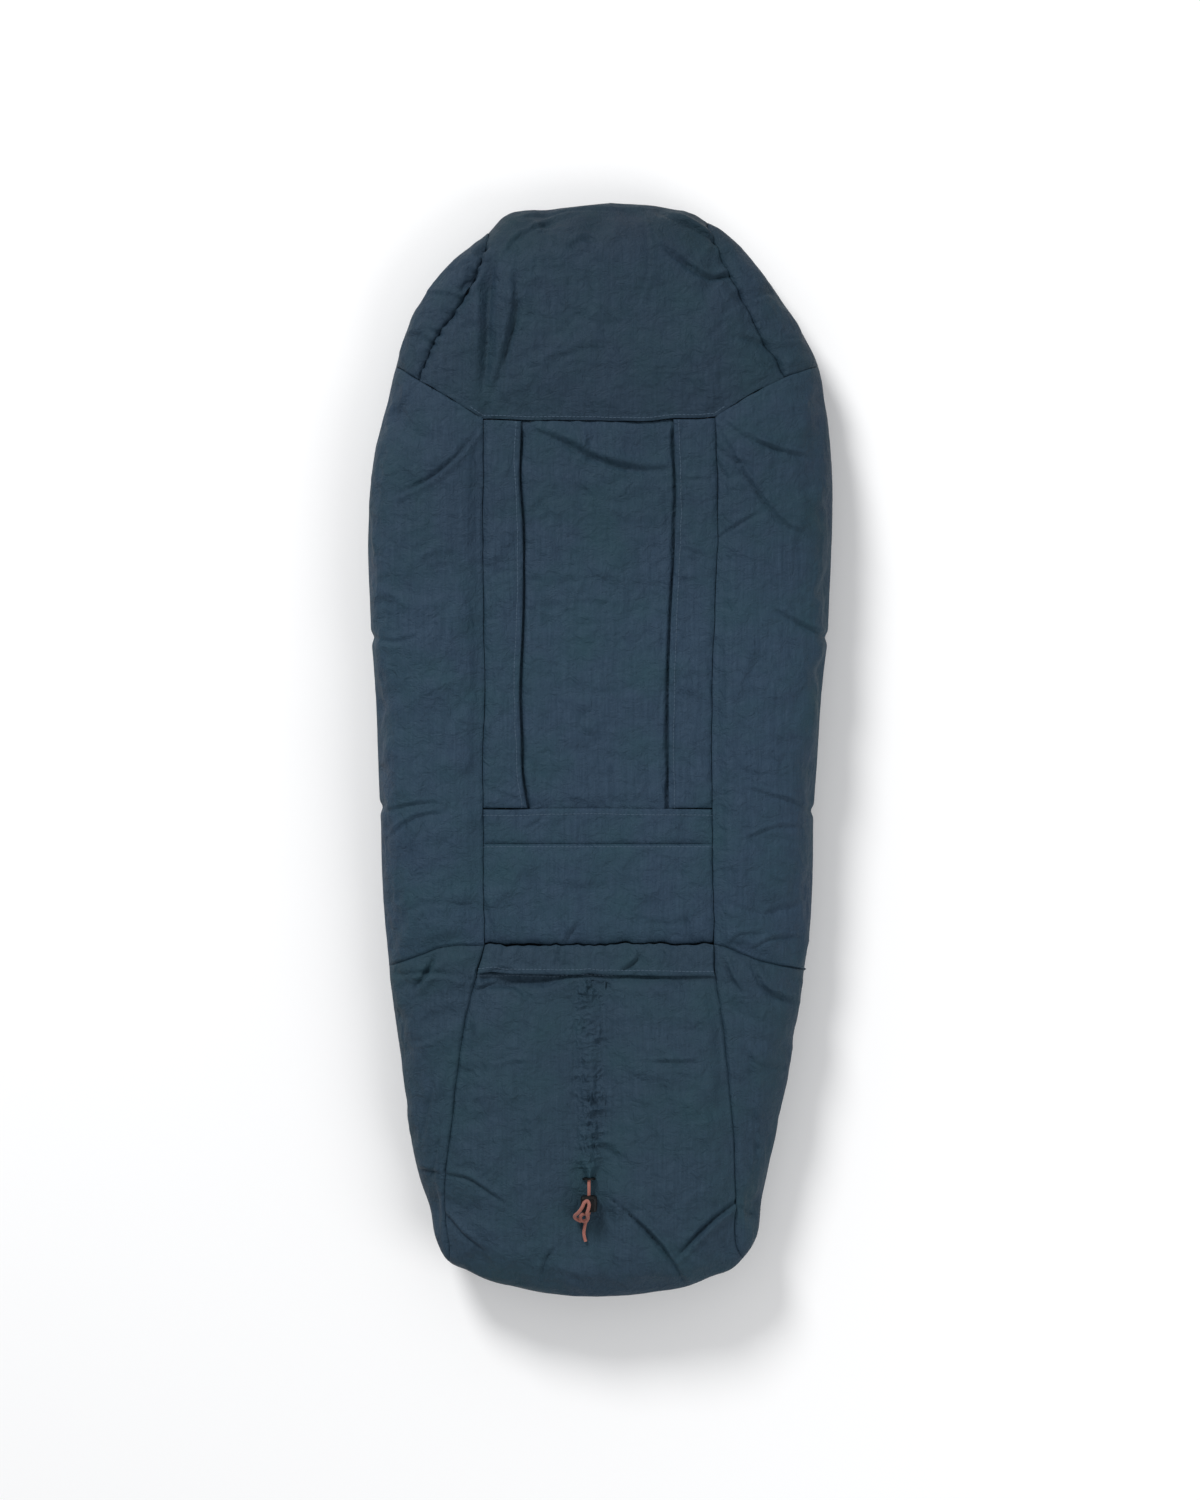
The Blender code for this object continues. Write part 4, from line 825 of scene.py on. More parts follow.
for side, outline, side_seam, waist, shoulder, notches in (
        ("left", left_outline, left_side_seam, left_waist, left_shoulder, (99.5, -56.0)),
        ("right", right_outline, right_side_seam, right_waist, right_shoulder, (101.0, -58.0))):
    edges = (seam(side_seam), outline_between(outline, waist[-1], shoulder[-1]), seam(waist), seam(shoulder))
    name = "side_panel_" + side
    shell_panel(name + "_quilted", name, edges, under_side, (1.5, 2.0, 2.4, 1.1), panel_wadding, shell_nylon,
                side_creases[side], 3 + len(side), extra=quilt_notches(notches),
                held=flat_by(edges[3], 60 * mm), cap=5.5 * mm)


# Hood: a puffy middle panel with a rolled rim between two tapered wings, of a slightly darker nylon. Its
# seams were sewn with the cloth eased in, so they pucker.
hood_creases = [
    ([(-106, 297), (-105, 335), (-103, 370), (-101, 412), (-96, 446)], 6.0, 8.5),
    ([(-106, 298), (-95, 328), (-84, 362), (-76, 400), (-77, 438)], 4.4, 5.2),
    ([(39, 488), (43, 430), (30, 395)], 1.2, 3), ([(58, 486), (89, 473), (107, 463)], 3.4, 3.2),
    ([(55, 458), (76, 441), (101, 427), (118, 430)], 3.4, 3.4),
    ([(-92, 440), (-76, 463), (-52, 478), (-16, 487)], 1.6, 3),
    ([(-60, 330), (-20, 360), (30, 350)], 0.8, 8), ([(-40, 400), (0, 385), (60, 392)], 0.7, 9),
    ([(70, 310), (85, 350), (80, 400)], 0.8, 7), ([(-30, 452), (-12, 462), (2, 455)], 1.3, 4),
    ([(-103, 459), (-111, 449), (-108, 440)], 4.2, 5), ([(-112, 431), (-121, 420), (-121, 410)], 4.0, 5),
    ([(100, 470), (112, 458)], 2.0, 4), ([(106, 429), (120, 431)], 2.4, 4),
    ([(120, 374), (134, 371), (148, 366)], 2.2, 4), ([(128, 357), (146, 349), (160, 343)], 1.5, 3),
    ([(-130, 352), (-121, 366), (-126, 384)], 1.2, 3),
    ([(-78, 485), (-45, 489), (0, 492.5), (40, 491)], 1.2, 2.4)
]
wing_creases = {"left": [
    ([(-161, 415), (-140, 413), (-124, 409)], 1.2, 2.5),
    ([(-118, 444), (-127, 440)], 2.0, 3), ([(-108, 458), (-113, 448)], 2.4, 4),
    ([(-119, 428), (-128, 414)], 2.4, 4), ([(-181, 375), (-160, 378)], 0.8, 3)
], "right": [
    ([(160, 417), (140, 410)], 0.9, 3), ([(184, 375), (165, 372)], 0.9, 3)
]}
left_corner, right_corner = left_wing_seam[-1], right_wing_seam[-1]
hood_foot = (left_shoulder[2:0:-1] + [(-108.0, 300.7), seam_ends[0], (-103.8, 299.4)] + seam_ends[1:-1]
             + [(102.2, 301.3), seam_ends[-1], (106.5, 302.7)] + right_shoulder[1:3])
head_outline = np.concatenate([left_outline, right_outline[-2::-1]])
hood_edges = (seam(hood_foot), outline_between(head_outline, left_corner, right_corner), seam(left_wing_seam),
              seam(right_wing_seam))
shell_panel("hood_quilted", "hood_panel", hood_edges, under_hood, (1.0, 2.0, 3.0, 3.0), panel_wadding,
            hood_nylon, hood_creases, 11, unevenness=1.2, pucker=1.4, pits=(0, 0, 4.5, 4.5),
            held=flat_by(hood_edges[0], 80 * mm), cap=5.5 * mm)


def short_end(last, side, rise):
    """The narrow end of a panel that runs out in a point, in mm."""
    return seam([last, (last[0] + (0.6 if side == "right" else -0.6), last[1] + rise)])


for side, outline, wing_seam, shoulder in (("left", left_outline, left_wing_seam, left_shoulder),
                                           ("right", right_outline, right_wing_seam, right_shoulder)):
    edges = (seam(wing_seam), outline_between(outline, shoulder[-1], wing_seam[-1]), seam(shoulder[2:]),
             short_end(wing_seam[-1], side, 0.4))
    name = "hood_wing_" + side
    shell_panel(name + "_quilted", name, edges, under_hood, (2.8, 2.0, 2.4, 1.0), panel_wadding, hood_nylon,
                wing_creases[side], 21 + len(side), pucker=1.8, pits=(4.5, 0, 0, 0))


# Foot pouch: the outer skin over the toes, open along its top, with a puffy gusset on each side that
# rolls round to the zip. Its wadding is 5 mm thick.
foot_creases = [
    ([(-112, -207), (-92, -210.5), (-68, -212.5), (-46, -211), (-30, -207)], 4.6, 9),
    ([(-60, -228), (-76, -217), (-92, -213)], 2.6, 3.4),
    ([(-112, -221), (-100, -215), (-80, -216)], 2.6, 3.4), ([(-20, -216), (-8, -219), (4, -216)], 2.0, 2.6),
    ([(8, -212), (5, -224), (-2, -230)], 2.0, 3), ([(30, -212), (34, -230), (48, -246)], 1.4, 5),
    ([(-9, -396), (6, -406), (34, -429), (58, -456), (78, -488)], 4.4, 3.4),
    ([(-27, -445), (-46, -459), (-54, -482)], 2.6, 3), ([(131, -408), (101, -430), (68, -464)], 4.4, 3.4),
    ([(-144, -388), (-120, -391), (-105, -400), (-86, -413)], 2.6, 3.2),
    ([(-144, -422), (-128, -439), (-104, -457)], 2.6, 3.2),
    ([(-92, -286), (-40, -284), (-14, -285)], 1.2, 2.6), ([(-6, -285), (60, -284), (112, -286)], 1.2, 2.6),
    ([(-60, -230), (-75, -300), (-60, -370)], 0.8, 8), ([(55, -230), (75, -310), (70, -380)], 0.8, 8),
    ([(-20, -470), (0, -455), (20, -470)], 1.0, 4), ([(-100, -225), (-105, -300), (-118, -370)], 0.6, 5)
]
gusset_creases = {"left": [
    ([(-113, -212), (-134, -205), (-160, -204), (-192, -207)], 2.0, 4),
    ([(-150, -188), (-158, -204), (-172, -221)], 3.6, 5),
    ([(-148, -285), (-156, -322), (-164, -361)], 1.2, 4), ([(-146, -349), (-153, -386)], 1.0, 3),
    ([(-136, -250), (-150, -262), (-180, -268)], 0.9, 3.5),
    ([(-172, -385), (-156, -386), (-143, -388)], 1.8, 3)
], "right": [
    ([(112, -190), (119, -209), (128, -222)], 2.4, 3), ([(137, -193), (149, -218), (178, -232)], 3.0, 3.6),
    ([(130, -250), (138, -300), (140, -350)], 1.0, 4.5), ([(126, -416), (144, -427)], 1.2, 2.8),
    ([(125, -270), (150, -290), (170, -290)], 0.9, 4), ([(140, -330), (146, -380)], 0.9, 3.5)
]}
channel_x = -10.0
channel_top_y, channel_foot_y = -0.2110, -0.3890


def pouch_relief(spots):
    """The skin is drawn in along the tunnel, hollow round the lock and sunk under the band at its left."""
    x, y = spots[..., 0] / mm - channel_x, spots[..., 1] / mm
    along_tunnel = ease((y + 405) / 20) * ease((-203 - y) / 12)
    under_band = 6.5 * np.exp(-((x + 58) / 27) ** 4 - ((y + 203) / 9.5) ** 2)
    under_band = np.maximum(under_band, 2.4 * np.exp(-(x / 98) ** 8 - ((y + 204) / 9) ** 2))
    swell = 1.2 * np.exp(-(x / 38) ** 2) * along_tunnel - under_band
    round_lock = np.hypot(x * 0.9, y + 412)
    turn = np.arctan2(y + 412, x)
    rim = np.exp(-((round_lock - 26) / 12) ** 2) * np.sin(turn * 7 + 1)
    hollow = -4.2 * np.exp(-(round_lock / 21) ** 2) - 0.9 * rim
    return (swell + hollow) * mm * ease((spots[..., 2] - 0.045) / 0.01)


def gathers_at(x, y):
    """Small crinkles of the nylon that the cord gathers, strongest over the tunnel and at its upper end."""
    aside = abs(x - channel_x * mm - 2.5 * mm * wave(y, 24 * mm, 104))
    spread = (17.0 + 5.0 * wave(y, 15 * mm, 105)) * mm
    strength = 0.8 + 0.35 * wave(y, 12 * mm, 106) + 0.8 * np.exp(-((y + 216 * mm) / (11 * mm)) ** 2)
    small = 7.4 * crumples(x * 2.4, y * 2.8, 101) + 0.9 * ripple(x * 0.6, y, 3.4 * mm, 103)
    lower = ease((y - channel_foot_y + 14 * mm) / (14 * mm))
    upper = ease((channel_top_y + 8 * mm - y) / (10 * mm))
    return mm * small * strength * np.exp(-(aside / spread) ** 2.2) * lower * upper


def held_down(spots):
    """The tunnel, the lock and the loose end of the cord lie on the skin and keep it down."""
    beside = abs(spots[..., 0] - channel_x * mm)
    off_tunnel = np.maximum(channel_foot_y - spots[..., 1], spots[..., 1] - channel_top_y).clip(0)
    gap = (beside - 11 * mm).clip(0) + 2 * off_tunnel
    low = spots[..., 1] < -380 * mm
    to_cord = np.linalg.norm(spots[low][:, None, :2] - cord_places[None, ::2, :2], axis=2).min(axis=1)
    gap[low] = np.minimum(gap[low], (to_cord - 10 * mm).clip(0))
    most = 79.7 * mm + 0.18 * gap + gathers_at(spots[..., 0], spots[..., 1])
    soft = 0.5 * mm
    height = most - soft * np.logaddexp(0, (most - spots[..., 2]) / soft)
    spots[..., 2] = np.where(spots[..., 2] > 60 * mm, height, spots[..., 2])
    return spots


def at_mouth(foot_seam):
    """Where a side seam of the pouch crosses its mouth."""
    line = seam(foot_seam)
    return along(line, np.interp(mouth_y * mm, line[::-1, 1], np.linspace(1, 0, len(line))))


left_mouth, right_mouth = at_mouth(left_foot_seam), at_mouth(right_foot_seam)
mouth = [tuple(left_mouth / mm), (-80, mouth_y + 0.4), (-42, mouth_y - 0.3), (-15, mouth_y + 0.3),
         (20, mouth_y - 0.2), (60, mouth_y - 0.8), tuple(right_mouth / mm)]


def from_mouth(foot_seam):
    line = seam(foot_seam)
    kept = line[line[:, 1] < mouth_y * mm]
    start = left_mouth if line[0, 0] < 0 else right_mouth
    return line_through(np.concatenate([start[None], kept[4::6], kept[-1:]]), 240)


whole_outline = np.concatenate([left_outline[::-1], right_outline[1:]])
foot_edges = (seam(mouth), outline_between(whole_outline, left_foot_seam[-1], right_foot_seam[-1]),
              from_mouth(left_foot_seam), from_mouth(right_foot_seam))
shell_panel("foot_pouch_quilted", "foot_panel", foot_edges, under_toe, (3.2, 2.0, 2.6, 2.6), foot_wadding,
            foot_nylon, foot_creases, 31, extra=pouch_relief, held=held_down, cap=6 * mm)
for side, outline, foot_seam, waist in (("left", left_outline, left_foot_seam, left_waist),
                                        ("right", right_outline, right_foot_seam, right_waist)):
    edges = (seam(foot_seam), outline_between(outline, waist[-1], foot_seam[-1]), seam(waist),
             short_end(foot_seam[-1], side, 0.3))
    name = "foot_gusset_" + side
    shell_panel(name + "_quilted", name, edges, under_side, (2.6, 2.0, 2.6, 1.4), foot_wadding, foot_nylon,
                gusset_creases[side], 43 + len(side))


# Back: a flat centre panel of the shell's nylon, softly uneven over the quilt of the back, on which it lies.
# The harness flaps overlap its two edges.
def flat_field(left, right, low, high, pitch, height):
    """Places over a field between two x and two y, closer together at its edges. Its values are in mm."""
    left, right, low, high, pitch = (value * mm for value in (left, right, low, high, pitch))
    x = left + (right - left) * edge_spaced(int((right - left) / pitch), right - left)
    y = low + (high - low) * edge_spaced(int((high - low) / pitch), high - low)
    x, y = np.meshgrid(x, y)
    return np.stack([x, y, height * mm + 0 * x], axis=2)


def to_seams(spots):
    """Stretches a field so that its outer edges follow the two side seams."""
    left, right = seam(left_side_seam), seam(right_side_seam)
    left_x = np.interp(spots[..., 1], left[:, 1], -left[:, 0])
    right_x = np.interp(spots[..., 1], right[:, 1], right[:, 0])
    reach = np.where(spots[..., 0] < 0, left_x, right_x) - 0.35 * mm
    spots[..., 0] *= 1 + (reach / (104.8 * mm) - 1) * ease((abs(spots[..., 0]) - 0.06) / 0.03)


def to_hood(spots, room=0.35 * mm):
    """Lengthens a field so that its head end follows the hood's seam."""
    line = seam(hood_foot)
    wanted = np.interp(spots[..., 0], line[:, 0], line[:, 1]) - room
    head = spots[..., 1].max()
    spots[..., 1] += (wanted - head) * ease((spots[..., 1] - head) / (30 * mm) + 1)


def to_border(spots):
    """Distance of each place to the nearest edge of its field."""
    x, y = spots[..., 0], spots[..., 1]
    return np.minimum(np.minimum(x - x.min(), x.max() - x), np.minimum(y - y.min(), y.max() - y))


back_quilt_top = 68.6 * mm
flap_underside = 76.7 * mm
flap_lowest = 77.6 * mm
centre_creases = [([(-66, 289), (-34, 277), (-3, 262), (34, 253), (68, 252)], 3.8, 5.5),
    ([(-46, 131), (-10, 132), (20, 128)], 0.9, 4.5), ([(-40, 240), (10, 225), (50, 230)], 0.8, 8),
    ([(-50, 60), (0, 50), (45, 62)], 0.7, 9), ([(-30, 0), (20, -10), (50, -5)], 0.7, 7),
    ([(50, 190), (58, 120), (52, 60)], 0.7, 6)]
# The harness flaps' free edges, in mm. They wander, and the back sinks in a narrow groove beside them.
flap_free_edges = {
    -1: [(-65.9, -54.0), (-70.0, -30.0), (-71.8, 10.0), (-73.2, 53.5), (-70.8, 110.0), (-70.3, 200.0),
         (-73.0, 252.0), (-71.4, 295.4)],
    1: [(62.4, -54.0), (62.2, 0.0), (62.4, 53.5), (64.3, 114.8), (67.6, 180.0), (68.8, 235.0), (67.8, 265.0),
        (66.6, 295.4)]}


def free_edge_x(sign, y):
    line = line_through(flap_free_edges[sign], 200) * mm
    return np.interp(y, line[:, 1], line[:, 0])


def centre_height(x, y):
    past = np.maximum(free_edge_x(-1, y) - x, x - free_edge_x(1, y)) + (3.9 + 0.8 * wave(y, 21 * mm, 66)) * mm
    groove = ease(past / (3.6 * mm)) * (1 - 0.75 * ease((y - 281 * mm) / (10 * mm)))
    return 77.4 * mm - 4.3 * mm * groove - 0.8 * mm * ease((-45 * mm - y) / (10 * mm))


centre = flat_field(-80, 80, -64, 295.8, 1.9, 0)
x, y, z = np.moveaxis(centre, 2, 0)
z[:] = centre_height(x, y)
uncovered = 1 - ease((abs(x) - 0.060) / 0.010)
rise = ripple(x, y, 46 * mm, 61) * 0.9 + ripple(x, y, 22 * mm, 62) * 0.35 + ripple(x, y, 10 * mm, 63) * 0.1
rise = 1.5 * rise * mm + 2.6 * mm * crumples(x, y, 65)
rise = rise * uncovered * (1 - ease((-0.04 - y) / 0.012))
z += rise + creased(centre, centre_creases) * (1 - ease((abs(x) - 0.060) / 0.008))
seam_away = y.max() - y
puckers = wave(x, 7 * mm, 64) * np.exp(-seam_away / (12 * mm))
swell = np.exp(-((seam_away - 14 * mm) / (10 * mm)) ** 2) * (1 - ease((abs(x) - 0.062) / 0.010))
z += 0.7 * mm * puckers - 0.9 * mm * np.exp(-seam_away / (3 * mm)) + 1.2 * mm * swell
to_hood(centre)
centre_panel = closed_pad("centre_panel_cloth", centre, back_quilt_top, shell_nylon, pocketing)
riding(centre_panel, "shell", "back_panel", fill=0.4)

# Facings: folded strips of the same nylon that bind the outer edges of the harness slots and the crotch
# slot, sewn flat on the quilt
for name, left, right, low, high in (("slot_facing_left", -104.8, -92.0, -76, 295.6),
                                     ("slot_facing_right", 92.0, 104.8, -76, 295.6),
                                     ("crotch_facing", -91.7, 91.7, -86.2, -76)):
    strip = flat_field(left, right, low, high, 2.6, 75.2)
    strip[..., 2] -= 1.2 * mm * np.exp(-to_border(strip) / (1.2 * mm))
    if name != "crotch_facing":
        to_seams(strip)
    riding(closed_pad(name + "_cloth", strip, back_quilt_top, shell_nylon), "shell", name, fill=0.3)


# Harness flaps: long padded strips sewn along the side seams and free along their inner edge, which is
# hemmed and topstitched. They cover the slots for the shoulder straps.
flap_creases = {
    "left": [([(-104, -35), (-89, -41), (-70, -49)], 0.9, 3),
             ([(-104, 150), (-90, 160), (-72, 158)], 0.5, 4)],
    "right": [([(69, 241), (85, 244), (103, 244)], 1.0, 2.6), ([(69, 184), (85, 178), (98, 174)], 0.8, 2.6),
              ([(69, 60), (86, 66), (103, 64)], 0.5, 3.5)]}
flap_width = 36 * mm
for side, sign, side_seam in (("left", -1, left_side_seam), ("right", 1, right_side_seam)):
    strip = flat_field(0, 36, -54, 295.4, 2.0, 80.4)
    fall = np.exp(-to_border(strip) / (1.5 * mm))
    x, y, z = np.moveaxis(strip, 2, 0)
    inner = x.copy()
    free_x = free_edge_x(sign, y)
    side_line = seam(side_seam)
    sewn_x = np.interp(y, side_line[:, 1], side_line[:, 0]) - sign * 0.35 * mm
    x[:] = free_x + (sewn_x - free_x) * inner / flap_width
    sewn_side = flap_width - inner
    curl = ease(1 - inner / (10 * mm)) * (0.9 + 0.9 * wave(y, 38 * mm, 71 + sign))
    z += (0.8 * ripple(x, y, 24 * mm, 73 + sign) + curl + 3.1 * crumples(x, y, 75 + sign)) * mm * (1 - fall)
    hem = np.exp(-((inner - 6 * mm) / (1.2 * mm)) ** 2)
    z -= 1.5 * mm * fall + 1.6 * mm * np.exp(-sewn_side / (3 * mm)) + 0.5 * mm * hem
    z += 0.9 * mm * wave(y, 8 * mm, 77) * np.exp(-sewn_side / (9 * mm))
    z += creased(strip, flap_creases[side])
    z[:] = np.maximum(z, flap_lowest)
    to_hood(strip, 1.0 * mm)
    if sign < 0:
        strip = strip[:, ::-1]
    riding(closed_pad("harness_flap_" + side + "_cloth", strip, flap_underside, shell_nylon, pocketing),
           "flap_" + side, "harness_flap_" + side, fill=0.3)
    sewn["harness_flap_" + side] = strip


# Crotch flap: a padded strip of the same nylon over the crotch strap's slot. It is sewn along the seat and
# free along its upper edge, which is hemmed.
strip = flat_field(-104.8, 104.8, -86.6, -55, 2.2, 80.1)
x, y, z = np.moveaxis(strip, 2, 0)
free = -55 * mm - y
sewn_side = 31.5 * mm - free
y += wave(x, 40 * mm, 82) * 0.8 * mm * np.exp(-free / (12 * mm))
fall = np.exp(-to_border(strip) / (1.5 * mm))
z += (0.7 * ripple(x, y, 26 * mm, 81) + 0.25 * ripple(x, y, 9 * mm, 83)) * mm * (1 - fall) - 1.7 * mm * fall
z -= 1.2 * mm * np.exp(-sewn_side / (3 * mm))
z += creased(strip, [([(-72, -75), (-56, -66), (-46, -57)], 1.0, 3), ([(30, -60), (50, -72)], 0.6, 4)])
z += 0.5 * mm * wave(x, 7 * mm, 84) * np.exp(-sewn_side / (9 * mm))
z += 1.8 * mm * crumples(x, y, 85) * (1 - fall)
z[:] = np.maximum(z, flap_lowest)
to_seams(strip)
crotch_flap = closed_pad("crotch_flap_cloth", strip, flap_underside, shell_nylon, pocketing)
riding(crotch_flap, "crotch", "crotch_flap", fill=0.3)
sewn["crotch_flap"] = strip


# Seat: a short padded panel between the crotch slot and the waist seam, a little puffier than the back. The
# waist seam holds many layers, so it draws the nylon in and wanders.
def waist_wave(x):
    return (1.4 * wave(x, 12 * mm, 90) + 0.8 * wave(x, 5 * mm, 87)) * mm


seat_creases = [
    ([(-104, -140), (-99, -158), (-95, -172)], 2.0, 3), ([(-32, -177), (-27, -168), (-19, -158)], 2.0, 2.8),
    ([(81, -148), (80, -160), (82, -175)], 1.8, 2.8), ([(-60, -120), (-10, -128), (40, -120)], 0.8, 8),
    ([(20, -150), (60, -160), (95, -150)], 0.9, 5), ([(70, -100), (85, -130), (80, -150)], 0.7, 6)]
seat = flat_field(-104.8, 104.8, -177.8, -86.7, 2.4, 80.6)
x, y, z = np.moveaxis(seat, 2, 0)
border = to_border(seat)
calm = 1 - np.exp(-border / (11 * mm))
z += (1.3 * ripple(x, y, 40 * mm, 91) + 0.5 * ripple(x, y, 19 * mm, 92)
      + 0.12 * ripple(x, y, 8 * mm, 93)) * mm * calm + 0.8 * mm * calm
z -= (1.9 * np.exp(-border / (6 * mm)) + 1.0 * np.exp(-border / (1.5 * mm))) * mm
waist_away = y + 177.8 * mm
z += 1.3 * mm * wave(x, 7 * mm, 94) * np.exp(-waist_away / (13 * mm))
z -= (3.0 + 1.8 * wave(x, 17 * mm, 89)) * mm * np.exp(-waist_away / (4.2 * mm))
gap = 0.2 + 1.3 * wave(x, 8 * mm, 86).clip(0)
y += (gap * mm + waist_wave(x)) * np.exp(-waist_away / (9 * mm))
z += creased(seat, seat_creases)
z += 2.6 * mm * crumples(x, y, 95) * calm
to_seams(seat)
seat_panel = closed_pad("seat_panel_cloth", seat, back_quilt_top, shell_nylon, pocketing)
riding(seat_panel, "shell", "seat_panel", fill=0.5)
sewn["seat"] = seat


# Foot band: a hemmed strip of the pouch's nylon, sewn in the waist seam. It hangs over the mouth of the
# foot pouch, and its free lower edge wanders and lifts a little.
band_creases = [
    ([(-36, -179), (-37, -190), (-39, -199)], 2.0, 2.8),
    ([(18, -203), (28, -197), (35, -190), (37, -181)], 2.4, 3),
    ([(-96, -202), (-84, -200), (-70, -203)], 1.4, 3), ([(56, -181), (60, -190), (54, -199)], 1.4, 3)]
strip = flat_field(-104.5, 104.5, -207.6, -178.3, 2.0, 80.2)
x, y, z = np.moveaxis(strip, 2, 0)
hem = y + 207.6 * mm
sewn_side = 29.3 * mm - hem
y += wave(x, 30 * mm, 96) * 0.8 * mm * np.exp(-hem / (10 * mm))
rise = (2.6 - 1.4 * ease((x + 30 * mm) / (60 * mm)) + 1.5 * np.exp(-((x + 92 * mm) / (7 * mm)) ** 2)
        + 1.0 * np.exp(-((x + 9 * mm) / (5 * mm)) ** 2)) * mm
y += rise * (1 - hem / (29.3 * mm)) + waist_wave(x) * np.exp(-sewn_side / (9 * mm))
fall = np.exp(-np.minimum(to_border(strip), hem) / (1.4 * mm))
z += 1.9 * mm * ease(1 - hem / (11 * mm))
z += (0.8 * ripple(x, y, 24 * mm, 97) + 0.3 * ripple(x, y, 9 * mm, 98)) * mm * (1 - fall) - 1.7 * mm * fall
z -= 3.2 * mm * np.exp(-sewn_side / (4 * mm))
z += 1.1 * mm * wave(x, 7 * mm, 99) * np.exp(-sewn_side / (9 * mm))
z += 2.4 * mm * crumples(x, y, 88) * (1 - fall)
z += creased(strip, band_creases)
band_under = flap_underside + 2.6 * mm * ease(1 - hem / (9 * mm))
z[:] = np.maximum(z, band_under + 0.8 * mm)
for foot_seam, sign in ((left_foot_seam, -1), (right_foot_seam, 1)):
    line = seam(foot_seam)
    half = abs(np.interp(y, line[::-1, 1], line[::-1, 0])) - 0.6 * mm
    x *= np.where(x * sign > 0, half / (104.5 * mm), 1.0)
riding(closed_pad("foot_band_cloth", strip, band_under, foot_nylon, pocketing), "band", "foot_band", fill=0.4)
sewn["foot_band"] = strip


# Tunnel of the drawcord: a sewn tube of the pouch's nylon, 30 mm wide and tapering at its foot, gathered
# tightly along its length, with a small moulded eyelet at its lower end
rows = np.linspace(channel_foot_y, channel_top_y, 330)
across = np.linspace(-1, 1, 61)
u, y = np.meshgrid(across, rows)
half = (4.6 + 10.4 * ease((y - channel_foot_y) / (18 * mm))) * mm
side_x = channel_x * mm + 1.2 * mm * wave(y, 22 * mm, 100) * (1 - abs(u)) + half * u
bulge = np.cos(u * pi / 2) ** 2
closed_top = ease((channel_top_y - y) / (12 * mm))
taper = ease((channel_foot_y + 26 * mm - y) / (26 * mm))
height = 79.8 * mm + (0.4 + 3.0 * closed_top + 3.6 * taper) * mm * bulge
height = np.maximum(height + gathers_at(side_x, y), 79.0 * mm)
tunnel = closed_pad("cord_tunnel_cloth", np.stack([side_x, y, height], axis=2), 78.4 * mm, foot_nylon)
riding(tunnel, "shell", "cord_channel", "drawcord_hidden", fill=0.5)


# Inside: the quilt of the back with its slots for the straps, and the wall between the pouch and the
# child's feet, both of fleece over polyester wadding. The fleece is brushed: matt, with a lying pile.
fleece, tree, shader = new_material("grey_brushed_fleece", Roughness=0.9, Sheen_Weight=0.25,
                                    Sheen_Roughness=0.6)
pile = noise(tree, 420.0, Detail=4.0, Roughness=0.75)
tufts = node(tree, "TexVoronoi", {"feature": "SMOOTH_F1"}, Vector=on_object(tree), Scale=260.0)
nap = maths(tree, "MULTIPLY_ADD", _0=(tufts, "Distance"), _1=0.5, _2=pile)
dye = mixed(tree, noise(tree, 22.0), "#6f767c", "#8a9197")
shade = ranged(tree, nap, 0.72, 1.12, From_Min=0.3, From_Max=0.9)
set_inputs(tree, shader, Base_Color=mixed(tree, 1.0, dye, shade, "MULTIPLY"),
           Normal=raised(tree, nap, 0.8, 0.0015))


def slotted_pad(name, half_x, low_y, high_y, low_z, high_z, holes, cloth, puff):
    """A flat pad between two heights with oblong holes, each given by its x and y limits, all in mm."""
    half_x, low_y, high_y, low_z, high_z, puff = np.array([half_x, low_y, high_y, low_z, high_z, puff]) * mm
    holes = [[limit * mm for limit in hole] for hole in holes]
    lines = []
    for axis, (low, high) in enumerate(((-half_x, half_x), (low_y, high_y))):
        marks = sorted({low, high} | {hole[axis * 2 + end] for hole in holes for end in (0, 1)})
        counts = [max(int((b - a) / (4 * mm)), 1) for a, b in zip(marks, marks[1:])]
        steps = [np.linspace(a, b, n, endpoint=False) for a, b, n in zip(marks, marks[1:], counts)]
        lines.append(np.concatenate(steps + [[high]]))
    x, y = np.meshgrid(*lines)
    away = np.minimum(np.minimum(x + half_x, half_x - x), np.minimum(y - low_y, high_y - y))
    for left, right, low, high in holes:
        gap_x = np.maximum(np.maximum(left - x, x - right), 0)
        gap_y = np.maximum(np.maximum(low - y, y - high), 0)
        away = np.minimum(away, np.hypot(gap_x, gap_y))
    soft = 1 - np.exp(-away / (4 * mm))
    quilting = abs(np.sin((x + y) * pi / (60 * mm)) * np.sin((x - y) * pi / (60 * mm))) ** 0.4
    depth = puff * (1 - soft * (0.35 + 0.65 * quilting)) if puff else 0.6 * mm * (1 - soft)
    return closed_pad(name, np.stack([x, y, high_z + 0 * x], axis=2), low_z + depth, cloth, holes=holes)


slots = [(-92, -80, -53, 282.5), (80, 92, -53, 282.5), (-60, 60, -76, -64)]
for name, *limits, holes, cloth, puff, replaced, slot, fill in (
        ("back_quilt", 135, -178, 288, 58.2, 68.2, slots, pocketing, 0, "back_insulation", "wadding", 0.5),
        ("back_fleece", 130, -178, 288, 54.2, 57.9, slots, fleece, 2.4, "back_lining", "fleece", 0.3),
        ("foot_wall_quilt", 118, -466, -178.3, 52.0, 60.0, [], foot_nylon, 1.0, "foot_back", "shell_nylon",
         0.5),
        ("foot_wall_fleece", 118, -466, -178.3, 48.4, 51.7, [], fleece, 2.0, "foot_lining", "fleece", 0.3)):
    riding(slotted_pad(name, *limits, holes, cloth, puff), "shell", replaced, slot=slot, fill=fill)


